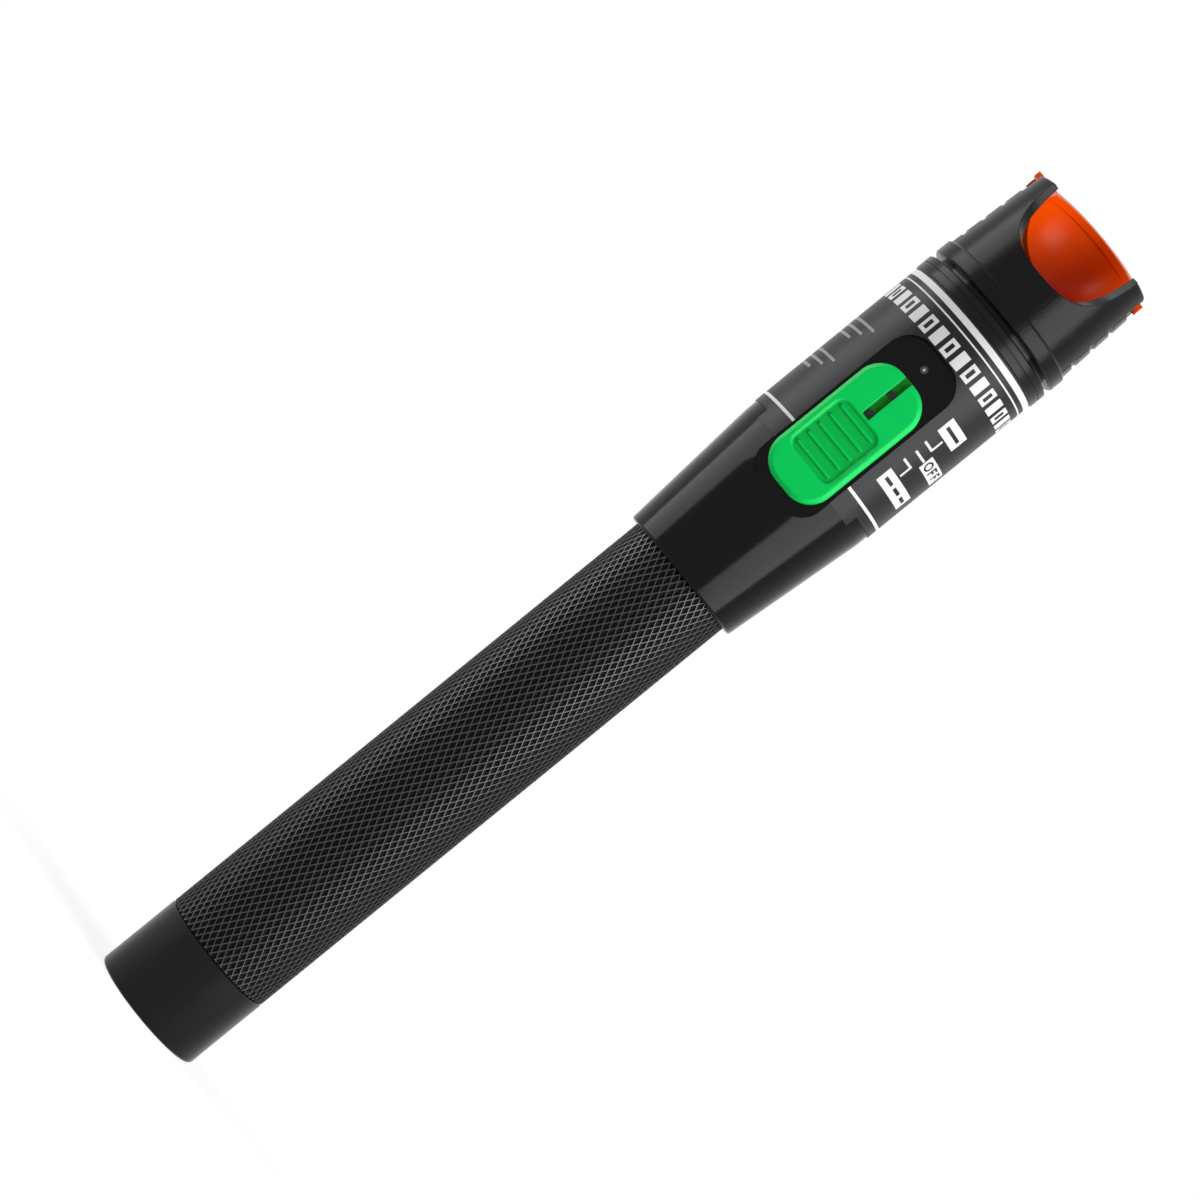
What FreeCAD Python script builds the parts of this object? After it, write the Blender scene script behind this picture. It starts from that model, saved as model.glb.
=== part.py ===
import FreeCAD, Part
import math
import os
import Sketcher

# A pen-shaped visual fault locator for optical fibre, standing on its tail cap.
# Millimetres. Z runs along the pen from the middle of the tail cap's end face to the nose.
# The thumb switch faces -Y, the two grip flanks of the nose face +X and -X.

VALUES = {
    # two AA cells, from which the tube and the cap are built outwards
    "cell_can_diameter": 14.4,
    "cell_can_length": 49.0,
    "cell_nub_diameter": 5.5,
    "cell_nub_length": 1.5,
    "cell_edge": 0.5,
    "cell_tail_gap": 0.1,
    # battery tube
    "cell_room": 0.6,
    "neck_wall": 1.5,
    "neck_step": 0.55,
    "neck_length": 10.0,
    "mouth_wall": 0.85,
    "mouth_depth": 10.4,
    "thread_clearance": 0.05,
    "edge_break": 0.25,
    # tail cap, screwed into the battery tube
    "cap_length": 13.45,
    "cap_proud": 0.05,
    "cap_edge_round": 0.6,
    "cap_spigot_length": 9.0,
    "cap_floor": 2.5,
    "cap_cell_room": 0.35,
    "cap_seam": 0.15,
    "plate_thickness": 0.8,
    "plate_side_room": 0.55,
    "spring_wire": 0.8,
    "spring_wide_diameter": 11.0,
    "spring_narrow_diameter": 6.4,
    "spring_turns": 3.0,
    "spring_fitted_length": 7.2,
    # rubber seals
    "seal_section": 0.8,
    "seal_land": 1.5,
    "seal_side_room": 0.2,
    "seal_clearance": 0.05,
    # contact disc in front of the cells, and its brass stud
    "disc_from_cells": 0.5,
    "disc_from_neck": 1.9,
    "disc_thickness": 2.0,
    "disc_side_room": 0.15,
    "contact_diameter": 5.0,
    "contact_rim_width": 1.0,
    "contact_rim_thickness": 0.4,
    # head housing
    "taper_length": 22.8,
    "taper_tail_step": 1.15,
    "taper_flare": 1.75,
    "shoulder_length": 1.9,
    "housing_edge_round": 0.4,
    "bulkhead_thickness": 3.0,
    "bulkhead_inset": 1.6,
    "nose_spigot_step": 0.7,
    "nose_spigot_wall": 2.9,
    "nose_spigot_length": 5.2,
    # label sleeve and trim ring
    "sleeve_length": 30.3,
    "sleeve_proud": 0.175,
    "sleeve_wall": 0.4,
    "tab_length": 1.8,
    "tab_angle": 23.0,
    "tab_offset_angle": 39.5,
    "tab_root": 0.2,
    "ring_length": 2.7,
    "ring_proud": 0.175,
    "ring_wall": 1.0,
    "ring_line_width": 0.3,
    "ring_line_depth": 0.2,
    "ring_edge": 0.2,
    # thumb slider
    "slider_width": 11.2,
    "slider_length": 23.6,
    "slider_corner": 4.3,
    "slider_thickness": 2.4,
    "slider_rim": 0.6,
    "slider_lift": 0.15,
    "slide_travel": 1.9,
    "dish_from_tail": 4.9,
    "dish_length": 10.0,
    "dish_side_wall": 1.4,
    "dish_corner": 1.4,
    "dish_rim": 0.3,
    "dish_depth": 0.4,
    "rib_count": 5.0,
    "rib_from_dish": 1.1,
    "rib_pitch": 1.98,
    "rib_width": 0.5,
    "rib_side_room": 0.7,
    "rib_corner": 0.2,
    "rib_height": 0.3,
    "channel_from_tail": 15.5,
    "channel_width": 1.4,
    "channel_depth": 0.5,
    "screw_head_diameter": 1.1,
    "screw_head_height": 0.3,
    "screw_shank_diameter": 0.6,
    "screw_shank_length": 1.4,
    "screw_from_channel": 0.8,
    "screw_pitch": 4.1,
    # the pocket it slides in
    "pocket_from_head": 16.95,
    "pocket_length": 31.45,
    "pocket_side_room": 0.6,
    "pocket_end_room": 0.15,
    "pocket_corner": 4.2,
    "pocket_floor_wall": 1.55,
    "lens_diameter": 1.2,
    "lens_from_pocket_end": 3.0,
    "lens_proud": 0.2,
    "lens_room": 0.02,
    # slide switch and the leg that drives it
    "switch_length": 9.0,
    "switch_width": 3.8,
    "switch_thickness": 2.4,
    "leg_length": 5.0,
    "leg_width": 3.0,
    "leg_room": 0.4,
    "leg_side_room": 0.3,
    "leg_slot_corner": 0.8,
    "lever_length": 1.8,
    "lever_width": 1.4,
    "lever_reach": 1.2,
    "lever_sink": 1.0,
    "lever_room": 0.1,
    # chassis, circuit board and what is soldered to it
    "chassis_side_room": 0.05,
    "chassis_wall": 1.5,
    "chassis_web": 2.0,
    "chassis_end_gap": 0.5,
    "board_above_barrel": 0.5,
    "board_thickness": 1.0,
    "board_side_room": 0.43,
    "board_tail_gap": 2.0,
    "board_front_gap": 1.0,
    "chip_length": 5.0,
    "chip_width": 4.0,
    "chip_thickness": 1.4,
    "chip_from_board_end": 1.5,
    "coil_diameter": 5.0,
    "coil_height": 2.2,
    "coil_offset": 3.0,
    "coil_from_switch": 1.0,
    "capacitor_length": 2.0,
    "capacitor_width": 1.2,
    "capacitor_thickness": 0.9,
    "capacitor_pitch": 2.6,
    "capacitor_offset": 4.5,
    # laser module
    "barrel_diameter": 7.8,
    "barrel_length": 26.0,
    "barrel_lens_bore": 5.0,
    "barrel_lens_depth": 16.5,
    "barrel_front_bore": 2.4,
    "diode_step": 0.35,
    "diode_depth": 2.6,
    "diode_can_room": 0.15,
    "diode_can_length": 2.3,
    "diode_flange_thickness": 1.2,
    "diode_lead_length": 2.4,
    "diode_lead_diameter": 0.45,
    "diode_lead_circle": 2.0,
    "optic_thickness": 2.0,
    "optic_ring_length": 1.6,
    "optic_ring_wall": 0.8,
    # fibre port
    "port_bore": 2.5,
    "ceramic_wall": 0.35,
    "ceramic_length": 10.2,
    "ceramic_slit": 0.3,
    "ceramic_sink": 0.3,
    "port_wall": 1.9,
    "port_flange_width": 2.5,
    "port_flange_thickness": 3.0,
    "port_shank_length": 11.0,
    "port_aperture": 1.6,
    "port_chamfer": 0.35,
    "port_hole_room": 0.05,
    "nut_wall": 1.3,
    "nut_thickness": 2.2,
    # nose cap
    "nose_gap": 0.9,
    "band_length": 2.7,
    "band_proud": 0.35,
    "band_edge": 0.3,
    "nose_length": 16.1,
    "nose_taper": 0.68,
    "nose_wall": 1.37,
    "nose_web": 1.5,
    "nose_web_gap": 0.2,
    "nose_web_room": 0.9,
    "nose_fit": 0.05,
    "scoop_depth": 10.75,
    "scoop_bottom_rise": 14.0,
    "scoop_half_angle": 52.5,
    "scoop_near_plane": 5.0,
    "scoop_beyond": 2.0,
    "lobe_round": 0.5,
    "flank_angle": 30.0,
    "flank_slit_angle": 1.8,
    "flank_slit_depth": 0.35,
    "gap_count": 3.0,
    "gap_first": 1.7,
    "gap_width": 1.1,
    "gap_depth": 0.5,
    "window_length": 3.7,
    # flip visor
    "pivot_drop": 1.5,
    "pivot_pin_diameter": 1.8,
    "pivot_clearance": 0.05,
    "pivot_pin_proud": 0.1,
    "ear_room": 0.3,
    "ear_thickness": 1.1,
    "ear_diameter": 7.8,
    "visor_room": 0.4,
    "visor_wall": 1.1,
    "visor_rim_lean": 18.0,
    "visor_rim_rise": 1.3,
    "visor_head_angle": 40.0,
    "visor_tail_angle": 51.0,
    "visor_lip_angle": 18.8,
    "visor_lip_thickness": 0.25,
    "nub_from_pivot": 4.4,
    "nub_width": 1.8,
    "nub_room": 0.25,
    "nub_thickness": 1.0,
    "nub_root": 7.6,
    "nub_proud": 1.0,
}

doc = FreeCAD.newDocument("fault_locator")
sheet = doc.addObject("Spreadsheet::Sheet", "Sizes")
for row, (alias, number) in enumerate(VALUES.items(), start=1):
    sheet.set(f"A{row}", alias)
    sheet.set(f"B{row}", str(number))
    sheet.setAlias(f"B{row}", alias)
doc.recompute()


class Size:
    """A number together with the spreadsheet expression that gives it."""

    def __init__(self, value, text):
        self.value = value
        self.text = text

    def join(self, sign, other, value):
        return Size(value, f"({self.text} {sign} {size_of(other).text})")

    def __add__(self, other):
        return self.join("+", other, self.value + size_of(other).value)

    def __radd__(self, other):
        return size_of(other) + self

    def __sub__(self, other):
        return self.join("-", other, self.value - size_of(other).value)

    def __rsub__(self, other):
        return size_of(other) - self

    def __mul__(self, other):
        return self.join("*", other, self.value * size_of(other).value)

    def __rmul__(self, other):
        return size_of(other) * self

    def __truediv__(self, other):
        return self.join("/", other, self.value / size_of(other).value)

    def __neg__(self):
        return size_of(0) - self

    def root(self):
        return Size(math.sqrt(self.value), f"sqrt({self.text})")


def size_of(thing):
    """A Size as it is, or a plain number as a Size."""
    return thing if isinstance(thing, Size) else Size(float(thing), str(thing))


def cell(alias):
    """The Size kept in the sheet under an alias."""
    return Size(sheet.get(alias), f"Sizes.{alias}")


def bind(thing, name, size):
    """Set a property from a Size and keep it bound to the sheet."""
    size = size_of(size)
    setattr(thing, name, size.value)
    thing.setExpression(name, size.text)


# ---- stations along the pen and radii that several pieces share ----

ZERO = size_of(0)
TOWARDS_SWITCH = -90  # degrees from +X to the switch's side
PAST = size_of(1)  # how far a cut runs past the faces it opens
# radii, from the cells outwards
cell_r = cell("cell_can_diameter") / 2
bore_r = cell_r + cell("cell_room")
neck_r = bore_r + cell("neck_wall")
tube_r = neck_r + cell("neck_step")
mouth_r = tube_r - cell("mouth_wall")
tube_groove_r = neck_r - cell("seal_section")
cap_r = tube_r + cell("cap_proud")
cap_bore_r = cell_r + cell("cap_cell_room")
cap_spigot_r = mouth_r - cell("thread_clearance")
cap_groove_r = cap_spigot_r - cell("seal_section") - cell("seal_clearance")
cavity_r = neck_r + cell("thread_clearance")
taper_tail_r = tube_r + cell("taper_tail_step")
head_r = taper_tail_r + cell("taper_flare")
sleeve_r = head_r + cell("sleeve_proud")
sleeve_seat_r = sleeve_r - cell("sleeve_wall")
ring_r = sleeve_r + cell("ring_proud")
ring_seat_r = ring_r - cell("ring_wall")
nose_spigot_r = ring_seat_r - cell("nose_spigot_step")
band_r = ring_r
nose_root_r = band_r - cell("band_proud")
nose_tip_r = nose_root_r - cell("nose_taper")
hollow_r = nose_tip_r - cell("nose_wall")
port_seat_r = cell("port_bore") / 2 + cell("ceramic_wall")
shank_r = port_seat_r + cell("port_wall")
lens_r = cell("barrel_lens_bore") / 2
bowl_r = hollow_r - cell("visor_room")
pin_r = cell("pivot_pin_diameter") / 2

# heights, from the tail cap's end face to the nose
tube_tail = cell("cap_length") + cell("cap_seam")
groove_length = cell("seal_section") + 2 * cell("seal_side_room")
cells_tail = cell("cap_floor") + cell("plate_thickness") + cell("spring_fitted_length")
cell_pitch = cell("cell_can_length") + cell("cell_nub_length")
disc_tail = cells_tail + 2 * cell_pitch + cell("disc_from_cells")
neck_front = disc_tail - cell("disc_from_neck")
head_tail = neck_front - cell("neck_length")
shoulder = head_tail + cell("taper_length")
sleeve_tail = shoulder + cell("shoulder_length")
ring_tail = sleeve_tail + cell("sleeve_length")
ring_front = ring_tail + cell("ring_length")
bulkhead_tail = ring_tail - cell("bulkhead_inset")
bulkhead_front = bulkhead_tail + cell("bulkhead_thickness")
flange_tail = bulkhead_tail - cell("port_flange_thickness")
port_mouth = bulkhead_tail + cell("port_shank_length")
ceramic_front = port_mouth - cell("ceramic_sink")
ceramic_tail = ceramic_front - cell("ceramic_length")
chassis_tail = disc_tail + cell("disc_thickness") + cell("chassis_end_gap")
chassis_front = flange_tail - cell("chassis_end_gap")
board_tail = chassis_tail + cell("board_tail_gap")
board_front = chassis_front - cell("board_front_gap")
nose_spigot_front = ring_front + cell("nose_spigot_length")
web_tail = nose_spigot_front + cell("nose_web_gap")
web_front = web_tail + cell("nose_web")
nose_tail = ring_front + cell("nose_gap")
band_front = nose_tail + cell("band_length")
nose_tip = band_front + cell("nose_length")
pivot_z = nose_tip - cell("pivot_drop")

# the switch: heights along the pen, and distances in front of its axis
pocket_tail = head_tail + cell("pocket_from_head")
pocket_front = pocket_tail + cell("pocket_length")
slider_tail = pocket_tail + cell("slide_travel") + cell("pocket_end_room")
slider_front = slider_tail + cell("slider_length")
slider_mid = (slider_tail + slider_front) / 2
channel_tail = slider_tail + cell("channel_from_tail")
screw_first = channel_tail + cell("screw_from_channel")
lens_z = pocket_front - cell("lens_from_pocket_end")
board_back_y = cell("barrel_diameter") / 2 + cell("board_above_barrel")
board_front_y = board_back_y + cell("board_thickness")
switch_top_y = board_front_y + cell("switch_thickness")
leg_tip_y = switch_top_y + cell("leg_room")
pocket_floor_y = cavity_r + cell("pocket_floor_wall")
slider_base = pocket_floor_y + cell("slider_lift")
slider_top = slider_base + cell("slider_thickness")
channel_floor_y = slider_top - cell("channel_depth")


# ---- small helpers for bodies, sketches and features ----

def new_body(label):
    body = doc.addObject("PartDesign::Body", label)
    body.Label = label
    return body


def origin_feature(body, role):
    """One of the body's own origin planes or axes."""
    return next(item for item in body.Origin.OriginFeatures if item.Role == role)


def new_sketch(body, plane, lift=ZERO):
    """A sketch on an origin plane, moved along the plane's normal by lift."""
    sketch = body.newObject("Sketcher::SketchObject", f"{body.Label}_sketch")
    sketch.AttachmentSupport = (origin_feature(body, plane), [""])
    sketch.MapMode = "FlatFace"
    lift = size_of(lift)
    sketch.AttachmentOffset = FreeCAD.Placement(
        FreeCAD.Vector(0, 0, lift.value), FreeCAD.Rotation()
    )
    sketch.setExpression("AttachmentOffset.Base.z", lift.text)
    return sketch


def hold(sketch, kind, geometry, point, size):
    """Hold a point at a distance from the sketch's origin."""
    size = size_of(size)
    constraint = Sketcher.Constraint(kind, -1, 1, geometry, point, size.value)
    index = sketch.addConstraint(constraint)
    sketch.setExpression(f"Constraints[{index}]", size.text)


def turn_sketch(sketch, angle):
    """Turn a sketch that holds the pen's axis about that axis."""
    turn = FreeCAD.Rotation(FreeCAD.Vector(0, 1, 0), angle.value)
    sketch.AttachmentOffset = FreeCAD.Placement(FreeCAD.Vector(0, 0, 0), turn)
    sketch.setExpression("AttachmentOffset.Rotation.Angle", angle.text)


def spot(across, along):
    return FreeCAD.Vector(size_of(across).value, size_of(along).value, 0)


def round_spot(radius, degrees):
    """A point at a radius and an angle, as a pair of Sizes."""
    angle = math.radians(degrees)
    return radius * round(math.cos(angle), 6), radius * round(math.sin(angle), 6)


def polygon(sketch, points):
    """A closed outline of straight lines through points given as Sizes."""
    first = sketch.GeometryCount
    count = len(points)
    for i, point in enumerate(points):
        following = points[(i + 1) % count]
        sketch.addGeometry(Part.LineSegment(spot(*point), spot(*following)), False)
    for i in range(count):
        following = first + (i + 1) % count
        sketch.addConstraint(Sketcher.Constraint("Coincident", first + i, 2, following, 1))
    for i, (across, along) in enumerate(points):
        hold(sketch, "DistanceX", first + i, 1, across)
        hold(sketch, "DistanceY", first + i, 1, along)
    return sketch


def circle(sketch, across, along, radius):
    """A circle held by its centre and radius."""
    radius = size_of(radius)
    round_line = Part.Circle(spot(across, along), FreeCAD.Vector(0, 0, 1), radius.value)
    index = sketch.addGeometry(round_line, False)
    hold(sketch, "DistanceX", index, 3, across)
    hold(sketch, "DistanceY", index, 3, along)
    constraint = sketch.addConstraint(Sketcher.Constraint("Radius", index, radius.value))
    sketch.setExpression(f"Constraints[{constraint}]", radius.text)
    return sketch


def rounded_rectangle(sketch, width, low, high, corner):
    """A rectangle centred on the sketch's vertical axis, with round corners."""
    half, corner = size_of(width) / 2, size_of(corner)
    low, high = size_of(low), size_of(high)
    sides = (
        (corner - half, low, half - corner, low),
        (half, low + corner, half, high - corner),
        (half - corner, high, corner - half, high),
        (-half, high - corner, -half, low + corner),
    )
    centres = (
        (half - corner, low + corner, 270),
        (half - corner, high - corner, 0),
        (corner - half, high - corner, 90),
        (corner - half, low + corner, 180),
    )
    first = sketch.GeometryCount
    for (x0, y0, x1, y1), (cx, cy, start) in zip(sides, centres):
        sketch.addGeometry(Part.LineSegment(spot(x0, y0), spot(x1, y1)), False)
        full = Part.Circle(spot(cx, cy), FreeCAD.Vector(0, 0, 1), corner.value)
        angles = math.radians(start), math.radians(start + 90)
        sketch.addGeometry(Part.ArcOfCircle(full, *angles), False)
    for i in range(4):
        side, arc, following = first + 2 * i, first + 2 * i + 1, first + (2 * i + 2) % 8
        sketch.addConstraint(Sketcher.Constraint("Tangent", side, 2, arc, 1))
        sketch.addConstraint(Sketcher.Constraint("Tangent", arc, 2, following, 1))
        direction = "Horizontal" if i % 2 == 0 else "Vertical"
        sketch.addConstraint(Sketcher.Constraint(direction, side))
    for i in range(1, 4):
        sketch.addConstraint(Sketcher.Constraint("Equal", first + 1, first + 2 * i + 1))
    constraint = sketch.addConstraint(Sketcher.Constraint("Radius", first + 1, corner.value))
    sketch.setExpression(f"Constraints[{constraint}]", corner.text)
    hold(sketch, "DistanceY", first, 1, low)
    hold(sketch, "DistanceX", first + 2, 1, half)
    hold(sketch, "DistanceY", first + 4, 1, high)
    hold(sketch, "DistanceX", first + 6, 1, -half)
    return sketch


def feature(body, kind, sketch, **settings):
    """A sketch-based feature; Size settings are bound to the sheet."""
    made = body.newObject(f"PartDesign::{kind}", kind)
    made.Profile = sketch
    for name, value in settings.items():
        if isinstance(value, Size):
            bind(made, name, value)
        else:
            setattr(made, name, value)
    return made


def turned(body, points):
    """Revolve a closed outline of (radius, z) points about the pen's axis."""
    sketch = polygon(new_sketch(body, "XZ_Plane"), points)
    return feature(body, "Revolution", sketch, ReferenceAxis=(sketch, ["V_Axis"]), Angle=360.0)


def tube_part(label, outer, inner, low, high):
    """A plain turned ring as a body of its own."""
    body = new_body(label)
    turned(body, [(inner, low), (outer, low), (outer, high), (inner, high)])
    return body


def circular_edges(shape, wanted):
    """Names of the full circles about Z that lie at the wanted (radius, z) pairs."""
    names = []
    for number, edge in enumerate(shape.Edges, start=1):
        curve = edge.Curve
        if not isinstance(curve, Part.Circle):
            continue
        for radius, z in wanted:
            off = abs(curve.Radius - size_of(radius).value) + abs(curve.Center.z - size_of(z).value)
            if off < 1e-4:
                names.append(f"Edge{number}")
    return names


def rounded(body, names, radius, kind="Fillet"):
    """Fillet or chamfer the named edges of the body's last feature."""
    base = body.Tip
    made = body.newObject(f"PartDesign::{kind}", kind)
    made.Base = (base, names)
    bind(made, "Radius" if kind == "Fillet" else "Size", radius)
    return made


def edge_names(shape, test):
    return [f"Edge{n}" for n, edge in enumerate(shape.Edges, start=1) if test(edge)]


def primitive(kind, name, place=(0, 0, 0), turn=None, **sizes):
    """A Part primitive whose sizes and position are bound to the sheet."""
    made = doc.addObject(f"Part::{kind}", name)
    for key, size in sizes.items():
        bind(made, key, size)
    turn = turn or FreeCAD.Rotation()
    values = [size_of(part) for part in place]
    made.Placement = FreeCAD.Placement(FreeCAD.Vector(*[part.value for part in values]), turn)
    for axis, part in zip("xyz", values):
        made.setExpression(f"Placement.Base.{axis}", part.text)
    return made


def combine(kind, label, base, tool):
    """A Part boolean of two document objects."""
    made = doc.addObject(f"Part::{kind}", label)
    made.Base = base
    made.Tool = tool
    made.Label = label
    return made


def group(label, pieces):
    """Several separate solids that share one node."""
    made = doc.addObject("Part::Compound", label)
    made.Links = pieces
    made.Label = label
    return made


def block(name, width, thickness, length, y_low, z_low, x_mid=ZERO):
    """A box centred on x_mid, from y_low up in Y and from z_low up in Z."""
    width = size_of(width)
    place = (size_of(x_mid) - width / 2, y_low, z_low)
    return primitive("Box", name, place, Length=width, Width=thickness, Height=length)


# ---- tail cap group ----

def make_tail_cap():
    """Turned cap: a plain end, a spigot that screws into the tube, a deep bore for the cell."""
    body = new_body("tail_cap")
    spigot_r, groove_r = cap_spigot_r, cap_groove_r
    spigot_top = cell("cap_length") + cell("cap_spigot_length")
    groove_low = cell("cap_length") + cell("seal_land")
    groove_high = groove_low + groove_length
    turned(body, [
        (ZERO, ZERO), (cap_r, ZERO), (cap_r, cell("cap_length")),
        (spigot_r, cell("cap_length")), (spigot_r, groove_low), (groove_r, groove_low),
        (groove_r, groove_high), (spigot_r, groove_high), (spigot_r, spigot_top),
        (cap_bore_r, spigot_top), (cap_bore_r, cell("cap_floor")), (ZERO, cell("cap_floor")),
    ])
    doc.recompute()
    rims = circular_edges(body.Shape, [(cap_r, 0)])
    rounded(body, rims, cell("cap_edge_round"))
    doc.recompute()
    rims = circular_edges(body.Shape, [(cap_r, cell("cap_length")), (spigot_r, spigot_top)])
    rounded(body, rims, cell("edge_break"), "Chamfer")
    return body


def eight_sided(radius, along, half):
    """The corners of an eight-sided section, as wide as twice half, round a (radius, z) point."""
    corner = half / math.cos(math.radians(22.5))
    steps = [round_spot(corner, 45 * i + 22.5) for i in range(8)]
    return [(radius + across, along + up) for across, up in steps]


def make_seal(label, groove_r, groove_low):
    """A rubber ring lying in its groove."""
    body = new_body(label)
    half = cell("seal_section") / 2
    turned(body, eight_sided(groove_r + half, groove_low + cell("seal_side_room") + half, half))
    return body


def make_seals():
    tail_seal = make_seal("tail_seal", cap_groove_r, cell("cap_length") + cell("seal_land"))
    front_seal = make_seal("front_seal", tube_groove_r, head_tail + cell("seal_land"))
    return [tail_seal, front_seal]


def make_tail_contact():
    """The sheet-metal disc at the bottom of the cap and the tapered spring that stands on it."""
    floor = cell("cap_floor")
    plate = primitive(
        "Cylinder", "tail_contact_plate", (0, 0, floor),
        Radius=cap_bore_r - cell("plate_side_room"), Height=cell("plate_thickness"),
    )
    plate.Label = "tail_contact_plate"
    spring = new_body("tail_spring")
    wire_r = cell("spring_wire") / 2
    start = floor + cell("plate_thickness") + wire_r
    wide, narrow = cell("spring_wide_diameter") / 2, cell("spring_narrow_diameter") / 2
    section = polygon(new_sketch(spring, "XZ_Plane"), eight_sided(wide, start, wire_r))
    feature(spring, "AdditiveHelix", section, ReferenceAxis=(section, ["V_Axis"]),
            Mode="height-turns-growth",
            Height=cells_tail - cell("cell_tail_gap") - wire_r - start,
            Turns=cell("spring_turns"), Growth=(narrow - wide) / cell("spring_turns"))
    return [plate, spring]


# ---- battery tube and cells ----

def make_battery_tube():
    """Drawn aluminium tube: a wider mouth at the tail, a threaded neck with a seal groove."""
    body = new_body("battery_tube")
    mouth_end = tube_tail + cell("mouth_depth")
    groove_low = head_tail + cell("seal_land")
    groove_high = groove_low + groove_length
    turned(body, [
        (mouth_r, tube_tail), (tube_r, tube_tail), (tube_r, head_tail), (neck_r, head_tail),
        (neck_r, groove_low), (tube_groove_r, groove_low), (tube_groove_r, groove_high),
        (neck_r, groove_high), (neck_r, neck_front), (bore_r, neck_front),
        (bore_r, mouth_end), (mouth_r, mouth_end),
    ])
    doc.recompute()
    rims = circular_edges(body.Shape, [(tube_r, tube_tail)])
    rounded(body, rims, cell("edge_break"), "Chamfer")
    return body


def make_cell(label, tail):
    """A sealed AA cell: can and positive nub."""
    body = new_body(label)
    nub_r = cell("cell_nub_diameter") / 2
    can_top = tail + cell("cell_can_length")
    nub_top = can_top + cell("cell_nub_length")
    turned(body, [(ZERO, tail), (cell_r, tail), (cell_r, can_top), (nub_r, can_top),
                  (nub_r, nub_top), (ZERO, nub_top)])
    doc.recompute()
    rims = circular_edges(body.Shape, [(cell_r, tail), (cell_r, can_top)])
    rounded(body, rims, cell("cell_edge"), "Chamfer")
    return body


# ---- head housing, label sleeve, trim ring ----

def pocket_outline(sketch):
    """The switch pocket's outline, shared by the housing and the sleeve."""
    width = cell("slider_width") + 2 * cell("pocket_side_room")
    return rounded_rectangle(sketch, width, pocket_tail, pocket_front, cell("pocket_corner"))


def cut_pocket(body):
    sketch = pocket_outline(new_sketch(body, "XZ_Plane", pocket_floor_y))
    depth = sleeve_r - pocket_floor_y + PAST
    return feature(body, "Pocket", sketch, Length=depth, Reversed=True)


def make_head_housing():
    """Moulded housing: flared tail, straight seat for the sleeve, bulkhead, spigot for the nose."""
    body = new_body("head_housing")
    spigot_bore_r = nose_spigot_r - cell("nose_spigot_wall")
    hole_r = shank_r + cell("port_hole_room")
    turned(body, [
        (cavity_r, head_tail), (taper_tail_r, head_tail),
        (head_r, shoulder), (head_r, sleeve_tail), (sleeve_seat_r, sleeve_tail),
        (sleeve_seat_r, ring_tail), (ring_seat_r, ring_tail), (ring_seat_r, ring_front),
        (nose_spigot_r, ring_front), (nose_spigot_r, nose_spigot_front),
        (spigot_bore_r, nose_spigot_front), (spigot_bore_r, bulkhead_front), (hole_r, bulkhead_front),
        (hole_r, bulkhead_tail), (cavity_r, bulkhead_tail),
    ])
    doc.recompute()
    rims = circular_edges(body.Shape, [(taper_tail_r, head_tail)])
    rounded(body, rims, cell("housing_edge_round"))
    cut_pocket(body)
    slot = new_sketch(body, "XZ_Plane", board_front_y)
    room = cell("slide_travel") + cell("leg_side_room")
    low = slider_mid - cell("leg_length") / 2 - room
    high = slider_mid + cell("leg_length") / 2 + room
    width = cell("leg_width") + 2 * cell("leg_side_room")
    rounded_rectangle(slot, width, low, high, cell("leg_slot_corner"))
    reach = pocket_floor_y - board_front_y + PAST
    feature(body, "Pocket", slot, Length=reach, Reversed=True)
    lens = new_sketch(body, "XZ_Plane", board_front_y)
    circle(lens, ZERO, lens_z, cell("lens_diameter") / 2 + cell("lens_room"))
    feature(body, "Pocket", lens, Length=reach, Reversed=True)
    return body


def make_label_sleeve():
    """Thin printed sleeve, slotted for the pocket, with two small tabs on its tail edge."""
    body = new_body("label_sleeve")
    turned(body, [(sleeve_seat_r, sleeve_tail), (sleeve_r, sleeve_tail),
                  (sleeve_r, ring_tail), (sleeve_seat_r, ring_tail)])
    for side in (-1, 1):
        sketch = new_sketch(body, "XZ_Plane")
        turn_sketch(sketch, side * cell("tab_offset_angle") + TOWARDS_SWITCH)
        low, high = sleeve_tail - cell("tab_length"), sleeve_tail + cell("tab_root")
        polygon(sketch, [(head_r, low), (sleeve_r, low), (sleeve_r, high), (head_r, high)])
        feature(body, "Revolution", sketch, ReferenceAxis=(sketch, ["V_Axis"]),
                Angle=cell("tab_angle"), Midplane=True)
    cut_pocket(body)
    return body


def make_trim_ring():
    """Turned trim ring with one fine line round its middle."""
    body = new_body("trim_ring")
    line_low = ring_tail + (cell("ring_length") - cell("ring_line_width")) / 2
    line_high = line_low + cell("ring_line_width")
    line_r = ring_r - cell("ring_line_depth")
    turned(body, [
        (ring_seat_r, ring_tail), (ring_r, ring_tail), (ring_r, line_low), (line_r, line_low),
        (line_r, line_high), (ring_r, line_high), (ring_r, ring_front), (ring_seat_r, ring_front),
    ])
    doc.recompute()
    rims = circular_edges(body.Shape, [(ring_r, ring_tail), (ring_r, ring_front)])
    rounded(body, rims, cell("ring_edge"), "Chamfer")
    return body


# ---- thumb slider and the switch under it ----

def rectangle(sketch, width, low, high):
    """A plain rectangle centred on the sketch's vertical axis."""
    half = width / 2
    return polygon(sketch, [(-half, low), (half, low), (half, high), (-half, high)])


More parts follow.
